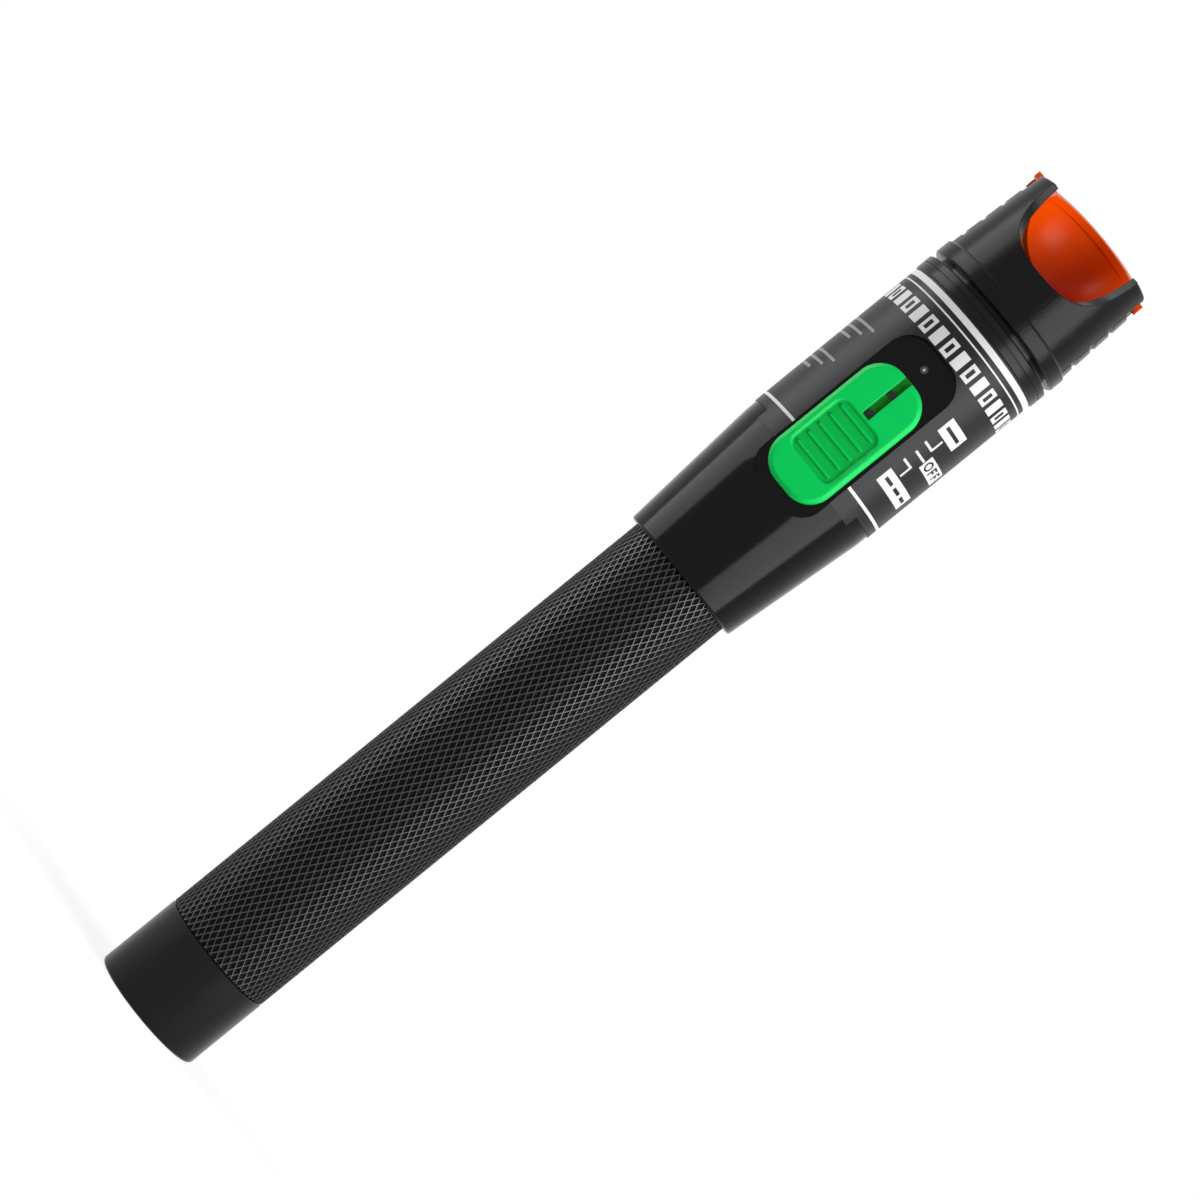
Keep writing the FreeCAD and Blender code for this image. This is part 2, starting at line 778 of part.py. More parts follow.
def make_thumb_slider():
    """Moulded slider: chamfered rim, ribbed thumb dish, screw channel, leg to the switch."""
    body = new_body("thumb_slider")
    plate = new_sketch(body, "XZ_Plane", slider_base)
    rounded_rectangle(
        plate, cell("slider_width"), slider_tail, slider_front, cell("slider_corner"))
    feature(body, "Pad", plate, Length=cell("slider_thickness"))
    doc.recompute()
    rim = edge_names(body.Shape, lambda edge: all(
        abs(vertex.Point.y + slider_top.value) < 1e-4 for vertex in edge.Vertexes))
    rounded(body, rim, cell("slider_rim"), "Chamfer")
    cut_dish(body)
    channel = new_sketch(body, "XZ_Plane", slider_top)
    rectangle(channel, cell("channel_width"), channel_tail, slider_front + PAST)
    feature(body, "Pocket", channel, Length=cell("channel_depth"))
    add_leg(body)
    for index in range(2):
        hole = new_sketch(body, "XZ_Plane", channel_floor_y)
        circle(hole, ZERO, screw_first + index * cell("screw_pitch"),
               cell("screw_shank_diameter") / 2)
        feature(body, "Pocket", hole, Length=cell("screw_shank_length"))
    add_ribs(body)
    return body


def cut_dish(body):
    """The shallow hollow for the thumb."""
    dish = new_sketch(body, "XZ_Plane", slider_top)
    low = slider_tail + cell("dish_from_tail")
    width = cell("slider_width") - 2 * cell("dish_side_wall")
    rounded_rectangle(dish, width, low, low + cell("dish_length"), cell("dish_corner"))
    feature(body, "Pocket", dish, Length=cell("dish_depth"))
    doc.recompute()
    reach = (width / 2).value + 1e-4
    rim = edge_names(body.Shape, lambda edge: all(
        abs(vertex.Point.y + slider_top.value) < 1e-4 and abs(vertex.Point.x) < reach
        and vertex.Point.z < channel_tail.value for vertex in edge.Vertexes)
        and edge.BoundBox.ZMin > (low - cell("dish_rim")).value)
    rounded(body, rim, cell("dish_rim"), "Chamfer")


def add_leg(body):
    """The leg under the slider, notched at its tip for the switch's lever."""
    leg = new_sketch(body, "XZ_Plane", slider_base)
    half = cell("leg_length") / 2
    rectangle(leg, cell("leg_width"), slider_mid - half, slider_mid + half)
    feature(body, "Pad", leg, Length=slider_base - leg_tip_y, Reversed=True)
    notch = new_sketch(body, "XZ_Plane", leg_tip_y)
    half = cell("lever_length") / 2
    rectangle(notch, cell("lever_width"), slider_mid - half, slider_mid + half)
    feature(body, "Pocket", notch, Length=cell("lever_reach"), Reversed=True)


def add_ribs(body):
    """The row of grip ribs in the dish."""
    rib = new_sketch(body, "XZ_Plane", slider_top - cell("dish_depth"))
    middle = slider_tail + cell("dish_from_tail") + cell("rib_from_dish")
    low, high = middle - cell("rib_width") / 2, middle + cell("rib_width") / 2
    width = cell("slider_width") - 2 * (cell("dish_side_wall") + cell("rib_side_room"))
    rounded_rectangle(rib, width, low, high, cell("rib_corner"))
    first_rib = feature(body, "Pad", rib, Length=cell("rib_height"))
    pattern = body.newObject("PartDesign::LinearPattern", "LinearPattern")
    pattern.Originals = [first_rib]
    pattern.Direction = (rib, ["V_Axis"])
    count = int(cell("rib_count").value)
    pattern.Occurrences = count
    bind(pattern, "Length", cell("rib_pitch") * (count - 1))
    body.Tip = pattern


def make_slider_screws():
    """Two tiny screws that hold the slider's leg from above."""
    turn = FreeCAD.Rotation(FreeCAD.Vector(1, 0, 0), 90)
    screws = []
    for index in range(2):
        z = screw_first + index * cell("screw_pitch")
        head = primitive("Cylinder", f"screw_head_{index}", (0, -channel_floor_y, z), turn,
                         Radius=cell("screw_head_diameter") / 2, Height=cell("screw_head_height"))
        shank = primitive("Cylinder", f"screw_shank_{index}",
                          (0, cell("screw_shank_length") - channel_floor_y, z), turn,
                          Radius=cell("screw_shank_diameter") / 2,
                          Height=cell("screw_shank_length"))
        screws.append(combine("Fuse", f"screw_{index}", head, shank))
    return group("slider_screws", screws)


def make_switch():
    """Board-mounted slide switch: a can with a long slot, and the lever the slider pushes."""
    can = block("switch_can", cell("switch_width"), cell("switch_thickness"),
                cell("switch_length"), -switch_top_y, slider_mid - cell("switch_length") / 2)
    slot_length = cell("lever_length") + 2 * (cell("slide_travel") + cell("lever_room"))
    sink = cell("lever_sink") + cell("lever_room")
    slot = block("switch_slot", cell("lever_width") + 2 * cell("lever_room"), sink + PAST,
                 slot_length, -switch_top_y - PAST, slider_mid - slot_length / 2)
    body = combine("Cut", "switch_body", can, slot)
    lever_top = leg_tip_y + cell("lever_reach")
    lever_base = switch_top_y - cell("lever_sink")
    lever = block("switch_lever", cell("lever_width"), lever_top - lever_base,
                  cell("lever_length"), -lever_top, slider_mid - cell("lever_length") / 2)
    lever.Label = "switch_lever"
    return [body, lever]


def make_indicator_lens():
    """Clear stub in the pocket floor that shows the indicator light."""
    length = cell("pocket_floor_wall") + cell("lens_proud")
    lens = primitive("Cylinder", "indicator_lens", (0, -cavity_r, lens_z),
                     FreeCAD.Rotation(FreeCAD.Vector(1, 0, 0), 90),
                     Radius=cell("lens_diameter") / 2, Height=length)
    lens.Label = "indicator_lens"
    return lens


# ---- chassis, board and components ----

def make_chassis():
    """Half-round carrier with two webs: the board lies on them, the laser barrel runs through."""
    length = chassis_front - chassis_tail
    radius = cavity_r - cell("chassis_side_room")
    web_front_z = chassis_tail + cell("chassis_web")
    inside = length - 2 * cell("chassis_web")
    outer = primitive("Cylinder", "chassis_outer", (0, 0, chassis_tail),
                      Radius=radius, Height=length)
    hollow = primitive("Cylinder", "chassis_hollow", (0, 0, web_front_z),
                       Radius=radius - cell("chassis_wall"), Height=inside)
    shell = combine("Cut", "chassis_shell", outer, hollow)
    across = 2 * (radius + PAST)
    upper = block("chassis_upper", across, radius + PAST - board_back_y,
                  length + 2 * PAST, -radius - PAST, chassis_tail - PAST)
    trough = combine("Cut", "chassis_trough", shell, upper)
    middle = block("chassis_middle", across, board_back_y + PAST,
                   inside, -board_back_y - PAST, web_front_z)
    open_trough = combine("Cut", "chassis_open", trough, middle)
    bore = primitive("Cylinder", "chassis_bore", (0, 0, chassis_tail - PAST),
                     Radius=cell("barrel_diameter") / 2, Height=length + 2 * PAST)
    return combine("Cut", "chassis", open_trough, bore)


def make_board():
    """The circuit board across the housing's hollow, with a chip, a coil and capacitors."""
    half = (cavity_r * cavity_r - board_front_y * board_front_y).root() - cell("board_side_room")
    board = block("circuit_board", 2 * half, cell("board_thickness"),
                  board_front - board_tail, -board_front_y, board_tail)
    board.Label = "circuit_board"
    chip = block("driver_chip", cell("chip_width"), cell("chip_thickness"), cell("chip_length"),
                 -board_front_y - cell("chip_thickness"), board_tail + cell("chip_from_board_end"))
    chip.Label = "driver_chip"
    turn = FreeCAD.Rotation(FreeCAD.Vector(1, 0, 0), 90)
    coil_tail = slider_mid + cell("switch_length") / 2 + cell("coil_from_switch")
    coil_place = (-cell("coil_offset"), -board_front_y, coil_tail + cell("coil_diameter") / 2)
    coil = primitive("Cylinder", "boost_coil", coil_place, turn,
                     Radius=cell("coil_diameter") / 2, Height=cell("coil_height"))
    coil.Label = "boost_coil"
    capacitors = [
        block(f"capacitor_{i}", cell("capacitor_width"), cell("capacitor_thickness"),
              cell("capacitor_length"), -board_front_y - cell("capacitor_thickness"),
              coil_tail + i * cell("capacitor_pitch"), cell("capacitor_offset"))
        for i in range(3)
    ]
    return [board, chip, coil, group("chip_capacitors", capacitors)]


def make_front_contact():
    """Moulded disc that closes the cell space and the brass stud through it."""
    stud_r = cell("contact_diameter") / 2
    rim_r = stud_r + cell("contact_rim_width")
    disc_r = cavity_r - cell("disc_side_room")
    disc_front = disc_tail + cell("disc_thickness")
    disc = tube_part("contact_disc", disc_r, stud_r, disc_tail, disc_front)
    stud = new_body("contact_stud")
    rim_low = disc_tail - cell("contact_rim_thickness")
    turned(stud, [(ZERO, rim_low), (rim_r, rim_low), (rim_r, disc_tail), (stud_r, disc_tail),
                  (stud_r, disc_front), (ZERO, disc_front)])
    return [disc, stud]


# ---- laser module ----

def make_laser():
    """Brass barrel with the diode pressed in its tail, the lens inside, and the lens ring."""
    front = flange_tail
    tail = front - cell("barrel_length")
    outer = cell("barrel_diameter") / 2
    diode_r = lens_r + cell("diode_step")
    exit_r = cell("barrel_front_bore") / 2
    diode_seat = tail + cell("diode_depth")
    lens_seat = tail + cell("barrel_lens_depth")
    barrel = new_body("laser_barrel")
    turned(barrel, [
        (diode_r, tail), (outer, tail), (outer, front), (exit_r, front),
        (exit_r, lens_seat), (lens_r, lens_seat), (lens_r, diode_seat), (diode_r, diode_seat),
    ])
    optic_tail = lens_seat - cell("optic_thickness")
    optic = primitive("Cylinder", "focus_optic", (0, 0, optic_tail), Radius=lens_r,
                      Height=cell("optic_thickness"))
    optic.Label = "focus_optic"
    ring = tube_part("optic_ring", lens_r, lens_r - cell("optic_ring_wall"),
                     optic_tail - cell("optic_ring_length"), optic_tail)
    return [barrel, make_diode(diode_r, diode_seat), optic, ring]


def make_diode(flange_r, seat):
    """The laser diode: a flange, a can in front of it and three leads behind it."""
    diode = new_body("laser_diode")
    can_r = lens_r - cell("diode_can_room")
    flange_back = seat - cell("diode_flange_thickness")
    can_front = seat + cell("diode_can_length")
    turned(diode, [(ZERO, flange_back), (flange_r, flange_back), (flange_r, seat),
                   (can_r, seat), (can_r, can_front), (ZERO, can_front)])
    circle_r = cell("diode_lead_circle") / 2
    for index in range(3):
        across, up = round_spot(circle_r, 120 * index + 90)
        lead = new_sketch(diode, "XY_Plane", flange_back)
        circle(lead, across, up, cell("diode_lead_diameter") / 2)
        feature(diode, "Pad", lead, Length=cell("diode_lead_length"), Reversed=True)
    return diode


# ---- fibre port ----

def make_port():
    """Steel port body with a flange, the slit ceramic sleeve inside it, and its lock nut."""
    body = new_body("port_body")
    flange_r = shank_r + cell("port_flange_width")
    aperture_r = cell("port_aperture") / 2
    turned(body, [
        (aperture_r, flange_tail), (flange_r, flange_tail), (flange_r, bulkhead_tail),
        (shank_r, bulkhead_tail), (shank_r, port_mouth), (port_seat_r, port_mouth),
        (port_seat_r, ceramic_tail), (aperture_r, ceramic_tail),
    ])
    doc.recompute()
    rims = circular_edges(body.Shape, [(shank_r, port_mouth)])
    rounded(body, rims, cell("port_chamfer"), "Chamfer")
    return [body, make_ceramic_sleeve(), make_port_nut()]


def make_ceramic_sleeve():
    """The slit sleeve that grips a connector's ferrule."""
    bore = cell("port_bore") / 2
    sleeve = tube_part("ceramic_sleeve", port_seat_r, bore, ceramic_tail, ceramic_front)
    slit = new_sketch(sleeve, "XY_Plane", ceramic_tail - PAST)
    rectangle(slit, cell("ceramic_slit"), ZERO, port_seat_r + PAST)
    feature(sleeve, "Pocket", slit, Length=cell("ceramic_length") + 2 * PAST, Reversed=True)
    return sleeve


def make_port_nut():
    """The hexagon nut in front of the bulkhead."""
    nut = new_body("port_nut")
    hexagon = new_sketch(nut, "XY_Plane", bulkhead_front)
    corner_r = (shank_r + cell("nut_wall")) / math.cos(math.radians(30))
    polygon(hexagon, [round_spot(corner_r, 60 * i) for i in range(6)])
    circle(hexagon, ZERO, ZERO, shank_r)
    feature(nut, "Pad", hexagon, Length=cell("nut_thickness"))
    return nut


# ---- nose cap ----

def nose_radius(z):
    """Outer radius of the nose's tapered part at a height."""
    return nose_root_r - cell("nose_taper") * (z - band_front) / cell("nose_length")


def scoop_sketch(body, distance):
    """The scoop's outline on a plane at a distance in front of the axis, as wide as a wedge."""
    sketch = new_sketch(body, "XZ_Plane", distance)
    half = distance * round(math.tan(math.radians(cell("scoop_half_angle").value)), 6)
    rise = cell("scoop_bottom_rise")
    bottom = nose_tip - cell("scoop_depth")
    middle, top = bottom + rise, nose_tip + rise + PAST
    if half.value >= rise.value:
        oval = Part.Ellipse(spot(0, middle), half.value, rise.value)
        arc = Part.ArcOfEllipse(oval, math.pi, 2 * math.pi)
    else:
        oval = Part.Ellipse(spot(0, bottom), spot(half, middle), spot(0, middle))
        arc = Part.ArcOfEllipse(oval, -math.pi / 2, math.pi / 2)
    sketch.addGeometry(arc, False)
    sketch.addGeometry(Part.LineSegment(spot(half, middle), spot(half, top)), False)
    sketch.addGeometry(Part.LineSegment(spot(half, top), spot(-half, top)), False)
    sketch.addGeometry(Part.LineSegment(spot(-half, top), spot(-half, middle)), False)
    return sketch


def make_nose_cap():
    """Moulded nose: a skirt on the spigot, a web round the port, two lobes with ribbed flanks."""
    body = new_body("nose_cap")
    skirt_r = nose_spigot_r + cell("nose_fit")
    hole_r = shank_r + cell("nose_web_room")
    turned(body, [
        (skirt_r, nose_tail), (band_r, nose_tail), (band_r, band_front),
        (nose_root_r, band_front), (nose_tip_r, nose_tip),
        (hollow_r, nose_tip), (hollow_r, web_front), (hole_r, web_front),
        (hole_r, web_tail), (skirt_r, web_tail),
    ])
    doc.recompute()
    rims = circular_edges(body.Shape, [(band_r, nose_tail), (band_r, band_front)])
    rounded(body, rims, cell("band_edge"), "Chamfer")
    doc.recompute()
    rims = circular_edges(body.Shape, [(nose_tip_r, nose_tip)])
    rounded(body, rims, cell("lobe_round"))
    near = scoop_sketch(body, cell("scoop_near_plane"))
    far = scoop_sketch(body, nose_root_r + cell("scoop_beyond"))
    scoop = body.newObject("PartDesign::SubtractiveLoft", "Scoop")
    scoop.Profile = near
    scoop.Sections = [far]
    scoop.Ruled = True
    other_scoop = body.newObject("PartDesign::Mirrored", "Mirrored")
    other_scoop.Originals = [scoop]
    other_scoop.MirrorPlane = (origin_feature(body, "XZ_Plane"), [""])
    body.Tip = other_scoop
    grooves = [cut_rib_gaps(body), cut_flank_slit(body, 1), cut_flank_slit(body, -1)]
    mirror_across(body, grooves)
    pins = new_sketch(body, "YZ_Plane", -band_r)
    circle(pins, ZERO, pivot_z, pin_r + cell("pivot_clearance"))
    feature(body, "Pocket", pins, Length=2 * band_r, Reversed=True)
    return body


def mirror_across(body, features):
    """Repeat features on the other side of the YZ plane."""
    mirrored = body.newObject("PartDesign::Mirrored", "Mirrored")
    mirrored.Originals = features
    mirrored.MirrorPlane = (origin_feature(body, "YZ_Plane"), [""])
    body.Tip = mirrored


def skin_strip(sketch, low, high, depth):
    """The section of a shallow cut that follows the nose's tapered skin."""
    low_r, high_r = nose_radius(low), nose_radius(high)
    polygon(sketch, [(low_r - depth, low), (low_r + PAST, low),
                     (high_r + PAST, high), (high_r - depth, high)])


def cut_rib_gaps(body):
    """The gaps between the ribs of one flank, and the window round the visor's pivot."""
    sketch = new_sketch(body, "XZ_Plane")
    window = nose_tip - cell("window_length")
    first = band_front + cell("gap_first")
    pitch = (window - first) / cell("gap_count")
    count = int(cell("gap_count").value)
    gaps = [(first + i * pitch, cell("gap_width")) for i in range(count)]
    gaps.append((window, cell("window_length") + PAST))
    for low, width in gaps:
        skin_strip(sketch, low, low + width, cell("gap_depth"))
    return feature(body, "Groove", sketch, ReferenceAxis=(sketch, ["V_Axis"]),
                   Angle=cell("flank_angle"), Midplane=True)


def cut_flank_slit(body, side):
    """One of the two narrow slits that bound a ribbed flank."""
    sketch = new_sketch(body, "XZ_Plane")
    turn_sketch(sketch, side * cell("flank_angle") / 2)
    skin_strip(sketch, band_front, nose_tip + PAST, cell("flank_slit_depth"))
    return feature(body, "Groove", sketch, ReferenceAxis=(sketch, ["V_Axis"]),
                   Angle=cell("flank_slit_angle"), Midplane=True)


# ---- flip visor ----

def bowl_sketch(body, outer, inner, low, high):
    """Half a ring about the pivot, tilted to the middle of the angles it will sweep."""
    sketch = new_sketch(body, "XY_Plane", pivot_z)
    tilt = (high - low) / 2 + low
    turn = FreeCAD.Rotation(FreeCAD.Vector(1, 0, 0), tilt.value)
    sketch.AttachmentOffset = FreeCAD.Placement(sketch.AttachmentOffset.Base, turn)
    sketch.setExpression("AttachmentOffset.Rotation.Angle", tilt.text)
    for radius in (outer, inner):
        full = Part.Circle(spot(0, 0), FreeCAD.Vector(0, 0, 1), radius.value)
        arc = sketch.addGeometry(Part.ArcOfCircle(full, 0, math.pi), False)
        sketch.addConstraint(Sketcher.Constraint("Coincident", arc, 3, -1, 1))
        sketch.addConstraint(Sketcher.Constraint("PointOnObject", arc, 1, -1))
        sketch.addConstraint(Sketcher.Constraint("PointOnObject", arc, 2, -1))
        index = sketch.addConstraint(Sketcher.Constraint("Radius", arc, radius.value))
        sketch.setExpression(f"Constraints[{index}]", radius.text)
    for point, sign in ((1, 1), (2, -1)):
        ends = spot(sign * outer, 0), spot(sign * inner, 0)
        line = sketch.addGeometry(Part.LineSegment(*ends), False)
        sketch.addConstraint(Sketcher.Constraint("Coincident", line, 1, 0, point))
        sketch.addConstraint(Sketcher.Constraint("Coincident", line, 2, 1, point))
    return sketch


def sweep_bowl(body, outer, inner, low, high):
    """Turn a half ring about the pivot's axis, from one angle above +Y to another."""
    sketch = bowl_sketch(body, outer, inner, low, high)
    return feature(body, "Revolution", sketch, ReferenceAxis=(sketch, ["H_Axis"]),
                   Angle=high - low, Midplane=True)


def disc_at(body, radius, start, end):
    """A round pad about the pivot's axis, from one distance beside the pen's axis to another."""
    sketch = circle(new_sketch(body, "YZ_Plane", start), ZERO, pivot_z, radius)
    return feature(body, "Pad", sketch, Length=end - start)


def trim_rim(body):
    """Cut the bowl and its ears along the leaning plane of the rim."""
    sketch = new_sketch(body, "YZ_Plane", -hollow_r)
    slope = round(math.tan(math.radians(cell("visor_rim_lean").value)), 6)
    reach = bowl_r + PAST
    middle = pivot_z + cell("visor_rim_rise")
    top = pivot_z + reach
    polygon(sketch, [(-reach, middle - reach * slope), (reach, middle + reach * slope),
                     (reach, top), (-reach, top)])
    return feature(body, "Pocket", sketch, Length=2 * hollow_r, Reversed=True)


def make_visor():
    """Moulded flip visor: part of a round bowl on two pins, with a nub to flick it by."""
    body = new_body("visor")
    wall, ear_r = cell("visor_wall"), cell("ear_diameter") / 2
    head, tail = cell("visor_head_angle"), cell("visor_tail_angle")
    inner_r = bowl_r - wall
    ear_end = (hollow_r * hollow_r - ear_r * ear_r).root() - cell("ear_room")
    ear_start = ear_end - cell("ear_thickness")
    sweep_bowl(body, bowl_r, inner_r, -tail, head)
    sweep_bowl(body, bowl_r, inner_r - cell("visor_lip_thickness"), cell("visor_lip_angle"), head)
    ears = [disc_at(body, ear_r, ear_start, ear_end)]
    mirror_across(body, ears)
    trim_rim(body)
    pins = [disc_at(body, pin_r, ear_start, nose_radius(pivot_z) + cell("pivot_pin_proud"))]
    mirror_across(body, pins)
    nub_low = nose_tip + cell("nub_room")
    nub = new_sketch(body, "YZ_Plane", -nose_tip_r - cell("nub_proud"))
    near, low = cell("nub_from_pivot"), nub_low
    far, high = near + cell("nub_width"), low + cell("nub_thickness")
    polygon(nub, [(near, low), (far, low), (far, high), (near, high)])
    feature(body, "Pad", nub, Length=nose_tip_r + cell("nub_proud") - cell("nub_root"))
    return body


# ---- build, check, write ----

parts = [make_tail_cap(), *make_seals(), *make_tail_contact(), make_battery_tube()]
parts += [make_cell("cell_tail", cells_tail), make_cell("cell_front", cells_tail + cell_pitch)]
parts += [make_head_housing(), make_label_sleeve(), make_trim_ring()]
parts += [make_thumb_slider(), make_slider_screws(), *make_switch(), make_indicator_lens()]
parts += [make_chassis(), *make_board(), *make_front_contact()]
parts += [*make_laser(), *make_port(), make_nose_cap(), make_visor()]
doc.recompute()

faults = [thing.Label for thing in doc.Objects if "Invalid" in thing.State or "Error" in thing.State]
faults += [part.Label for part in parts if part.Shape.isNull() or not part.Shape.isValid()]
if faults:
    raise SystemExit(f"failed objects: {faults}")

os.makedirs("parts", exist_ok=True)
for part in parts:
    part.Shape.exportStep(f"parts/{part.Label}.step")
    box = part.Shape.BoundBox
    print(f"{part.Label:20s} solids {len(part.Shape.Solids)} volume {part.Shape.Volume:9.1f} mm3"
          f" z {box.ZMin:7.2f} to {box.ZMax:7.2f}")
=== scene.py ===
import bmesh
import bpy
import math
from mathutils import Matrix, Vector


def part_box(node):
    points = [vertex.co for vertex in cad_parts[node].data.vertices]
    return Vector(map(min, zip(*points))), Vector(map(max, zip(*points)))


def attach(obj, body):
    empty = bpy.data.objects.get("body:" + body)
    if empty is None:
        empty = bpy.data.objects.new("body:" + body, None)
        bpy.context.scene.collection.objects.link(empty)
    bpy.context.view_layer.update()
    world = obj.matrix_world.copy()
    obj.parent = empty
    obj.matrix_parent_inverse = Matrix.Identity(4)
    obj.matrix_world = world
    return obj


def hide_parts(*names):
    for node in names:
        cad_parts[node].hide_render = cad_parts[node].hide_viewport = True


# %% [markdown]
# # A pen-shaped fault locator for optical fibre
# The pen stands on its tail cap, with Z along it and the thumb switch facing -Y. Its exact
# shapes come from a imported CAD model, the frame. This script adds what the frame leaves plain:
# the knurl on the battery tube, the thread on the cap, the print on the label, and a finish
# for every piece. Everything is in metres, and each new piece takes its place from the frame.

# %% Load the frame
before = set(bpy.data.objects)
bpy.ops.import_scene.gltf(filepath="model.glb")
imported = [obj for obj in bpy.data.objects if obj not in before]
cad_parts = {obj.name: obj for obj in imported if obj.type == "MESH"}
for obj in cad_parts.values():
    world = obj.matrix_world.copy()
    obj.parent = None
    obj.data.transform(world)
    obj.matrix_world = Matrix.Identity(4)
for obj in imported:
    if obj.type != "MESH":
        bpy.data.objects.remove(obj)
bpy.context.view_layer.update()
MM = 0.001

# %% [markdown]
# ## Shader arithmetic
# A finish is a small calculation: how far round the pen is this point, is it inside a printed
# stripe, how rough is it here? Written node by node such sums are hard to read. So one class
# wraps the output of a node, and plain Python operators on it add the Math nodes. A finish has
# one method for all other nodes, which takes the node's type, its settings and its sockets.


# %% A socket that can be calculated with
class Wire:
    """The output of a shader node. Arithmetic on it adds Math nodes to its finish."""

    def __init__(self, finish, socket):
        self.finish = finish
        self.socket = socket

    def math(self, operation, *values):
        return self.finish.math(operation, self, *values)

    def __add__(self, other):
        return self.math("ADD", other)

    def __radd__(self, other):
        return self.math("ADD", other)

    def __sub__(self, other):
        return self.math("SUBTRACT", other)

    def __rsub__(self, other):
        return self.finish.math("SUBTRACT", other, self)

    def __mul__(self, other):
        return self.math("MULTIPLY", other)

    def __rmul__(self, other):
        return self.math("MULTIPLY", other)

    def __truediv__(self, other):
        return self.math("DIVIDE", other)

    def between(self, low, high, soft):
        """1 where the value lies between low and high, with edges as wide as soft."""
        return self.step(low, soft) * (1 - self.step(high, soft))

    def step(self, limit, soft):
        """0 below the limit and 1 above it, changing over a width of soft."""
        settings = {"interpolation_type": "SMOOTHSTEP"}
        ends = {"Value": self, "From Min": limit - soft / 2, "From Max": limit + soft / 2}
        return self.finish.node("ShaderNodeMapRange", settings, ends)


# %% A finish under construction
class Finish:
    """One material, and the nodes that make it."""

    def __init__(self, name):
        self.material = bpy.data.materials.new(name)
        self.material.use_nodes = True
        self.tree = self.material.node_tree
        self.tree.nodes.clear()

    def node(self, kind, settings=None, sockets=None, output=0):
        """Add a node: its settings come first, then the values or links of its sockets."""
        made = self.tree.nodes.new(kind)
        for key, value in (settings or {}).items():
            if key == "stops":
                set_stops(made.color_ramp, value)
            else:
                setattr(made, key, value)
        for key, value in (sockets or {}).items():
            if isinstance(value, Wire):
                self.tree.links.new(value.socket, made.inputs[key])
            else:
                made.inputs[key].default_value = value
        return Wire(self, made.outputs[output])

    def math(self, operation, *values):
        return self.node("ShaderNodeMath", {"operation": operation}, dict(enumerate(values)))

    def blend(self, factor, first, second):
        """A colour that goes from first to second as the factor goes from 0 to 1."""
        colours = {"Factor": factor, "A": first, "B": second}
        colours = {COLOUR_MIX[key]: value for key, value in colours.items()}
        return self.node("ShaderNodeMix", {"data_type": "RGBA"}, colours, output=2)

    def place(self):
        """Where a point is in the pen's own frame, as a vector in metres."""
        return self.node("ShaderNodeTexCoord", output="Object")

    def axes(self):
        """The same place as three separate numbers, in millimetres."""
        factors = {0: self.place(), 1: (1 / MM, 1 / MM, 1 / MM)}
        scaled = self.node("ShaderNodeVectorMath", {"operation": "MULTIPLY"}, factors)
        parts = self.node("ShaderNodeSeparateXYZ", None, {"Vector": scaled})
        outputs = parts.socket.node.outputs
        return [Wire(self, outputs[axis]) for axis in "XYZ"]

    def noise(self, size, detail=2.0, stretch=(1, 1, 1), seed=0.0):
        """Noise from 0 to 1 whose features are about as wide as size, in millimetres."""
        stretched = {0: self.place(), 1: stretch}
        where = self.node("ShaderNodeVectorMath", {"operation": "MULTIPLY"}, stretched)
        sockets = {"Vector": where, "Scale": 1 / (size * MM), "Detail": detail, "W": seed}
        return self.node("ShaderNodeTexNoise", {"noise_dimensions": "4D"}, sockets)

    def soft_edges(self, radius):
        """A normal that turns smoothly over the sharp edges, as if they were rounded."""
        return self.node("ShaderNodeBevel", {"samples": 4}, {"Radius": radius * MM})

    def bump(self, height, depth, normal=None):
        """A normal from a height of 0 to 1 that stands for a depth in millimetres."""
        sockets = {"Height": height, "Distance": depth * MM, "Strength": 1.0}
        if normal is not None:
            sockets["Normal"] = normal
        return self.node("ShaderNodeBump", None, sockets)

    def surface(self, **sockets):
        """End the finish with a Principled shader; underscores stand for spaces."""
        named = {key.replace("_", " "): value for key, value in sockets.items()}
        shader = self.node("ShaderNodeBsdfPrincipled", None, named)
        self.node_output(shader)
        return self.material

    def node_output(self, shader):
        end = self.tree.nodes.new("ShaderNodeOutputMaterial")
        self.tree.links.new(shader.socket, end.inputs["Surface"])


COLOUR_MIX = {"Factor": 0, "A": 6, "B": 7}


def set_stops(ramp, stops):
    """Give a colour ramp its stops, as pairs of a position and a colour."""
    while len(ramp.elements) > 1:
        ramp.elements.remove(ramp.elements[-1])
    for index, (position, colour) in enumerate(stops):
        element = ramp.elements[0] if index == 0 else ramp.elements.new(position)
        element.position = position
        element.color = colour


def rgb(red, green, blue):
    return (red, green, blue, 1.0)


print("shader helpers ready")

# %% [markdown]
# ## Anodised aluminium
# The tail cap and the battery tube are turned from aluminium bar and dyed black in the anodising
# bath. The lathe leaves rings a few hundredths of a millimetre apart: noise that changes fast
# along Z and not at all round the pen gives them. The specular level of the black finishes is
# lower than such a skin really has, about 0.5, because here it mirrors white from every side.


# %% Turned and anodised
def anodised(name, colour, roughness):
    finish = Finish(name)
    lines = finish.noise(0.09, 3.0, (0.02, 0.02, 1))
    cloud = finish.noise(6.0, 2.0)
    tint = finish.blend(cloud, rgb(*colour), rgb(*(1.5 * c for c in colour)))
    return finish.surface(
        Base_Color=tint,
        Roughness=roughness + 0.07 * lines + 0.04 * cloud,
        Normal=finish.bump(lines, LATHE_LINE_DEPTH),
        Specular_IOR_Level=0.15,
    )


LATHE_LINE_DEPTH = 0.0012
anodised_cap = anodised("anodised_cap", (0.004, 0.004, 0.0045), 0.22)
anodised_core = anodised("anodised_core", (0.002, 0.002, 0.002), 0.5)
print("anodised finishes made")

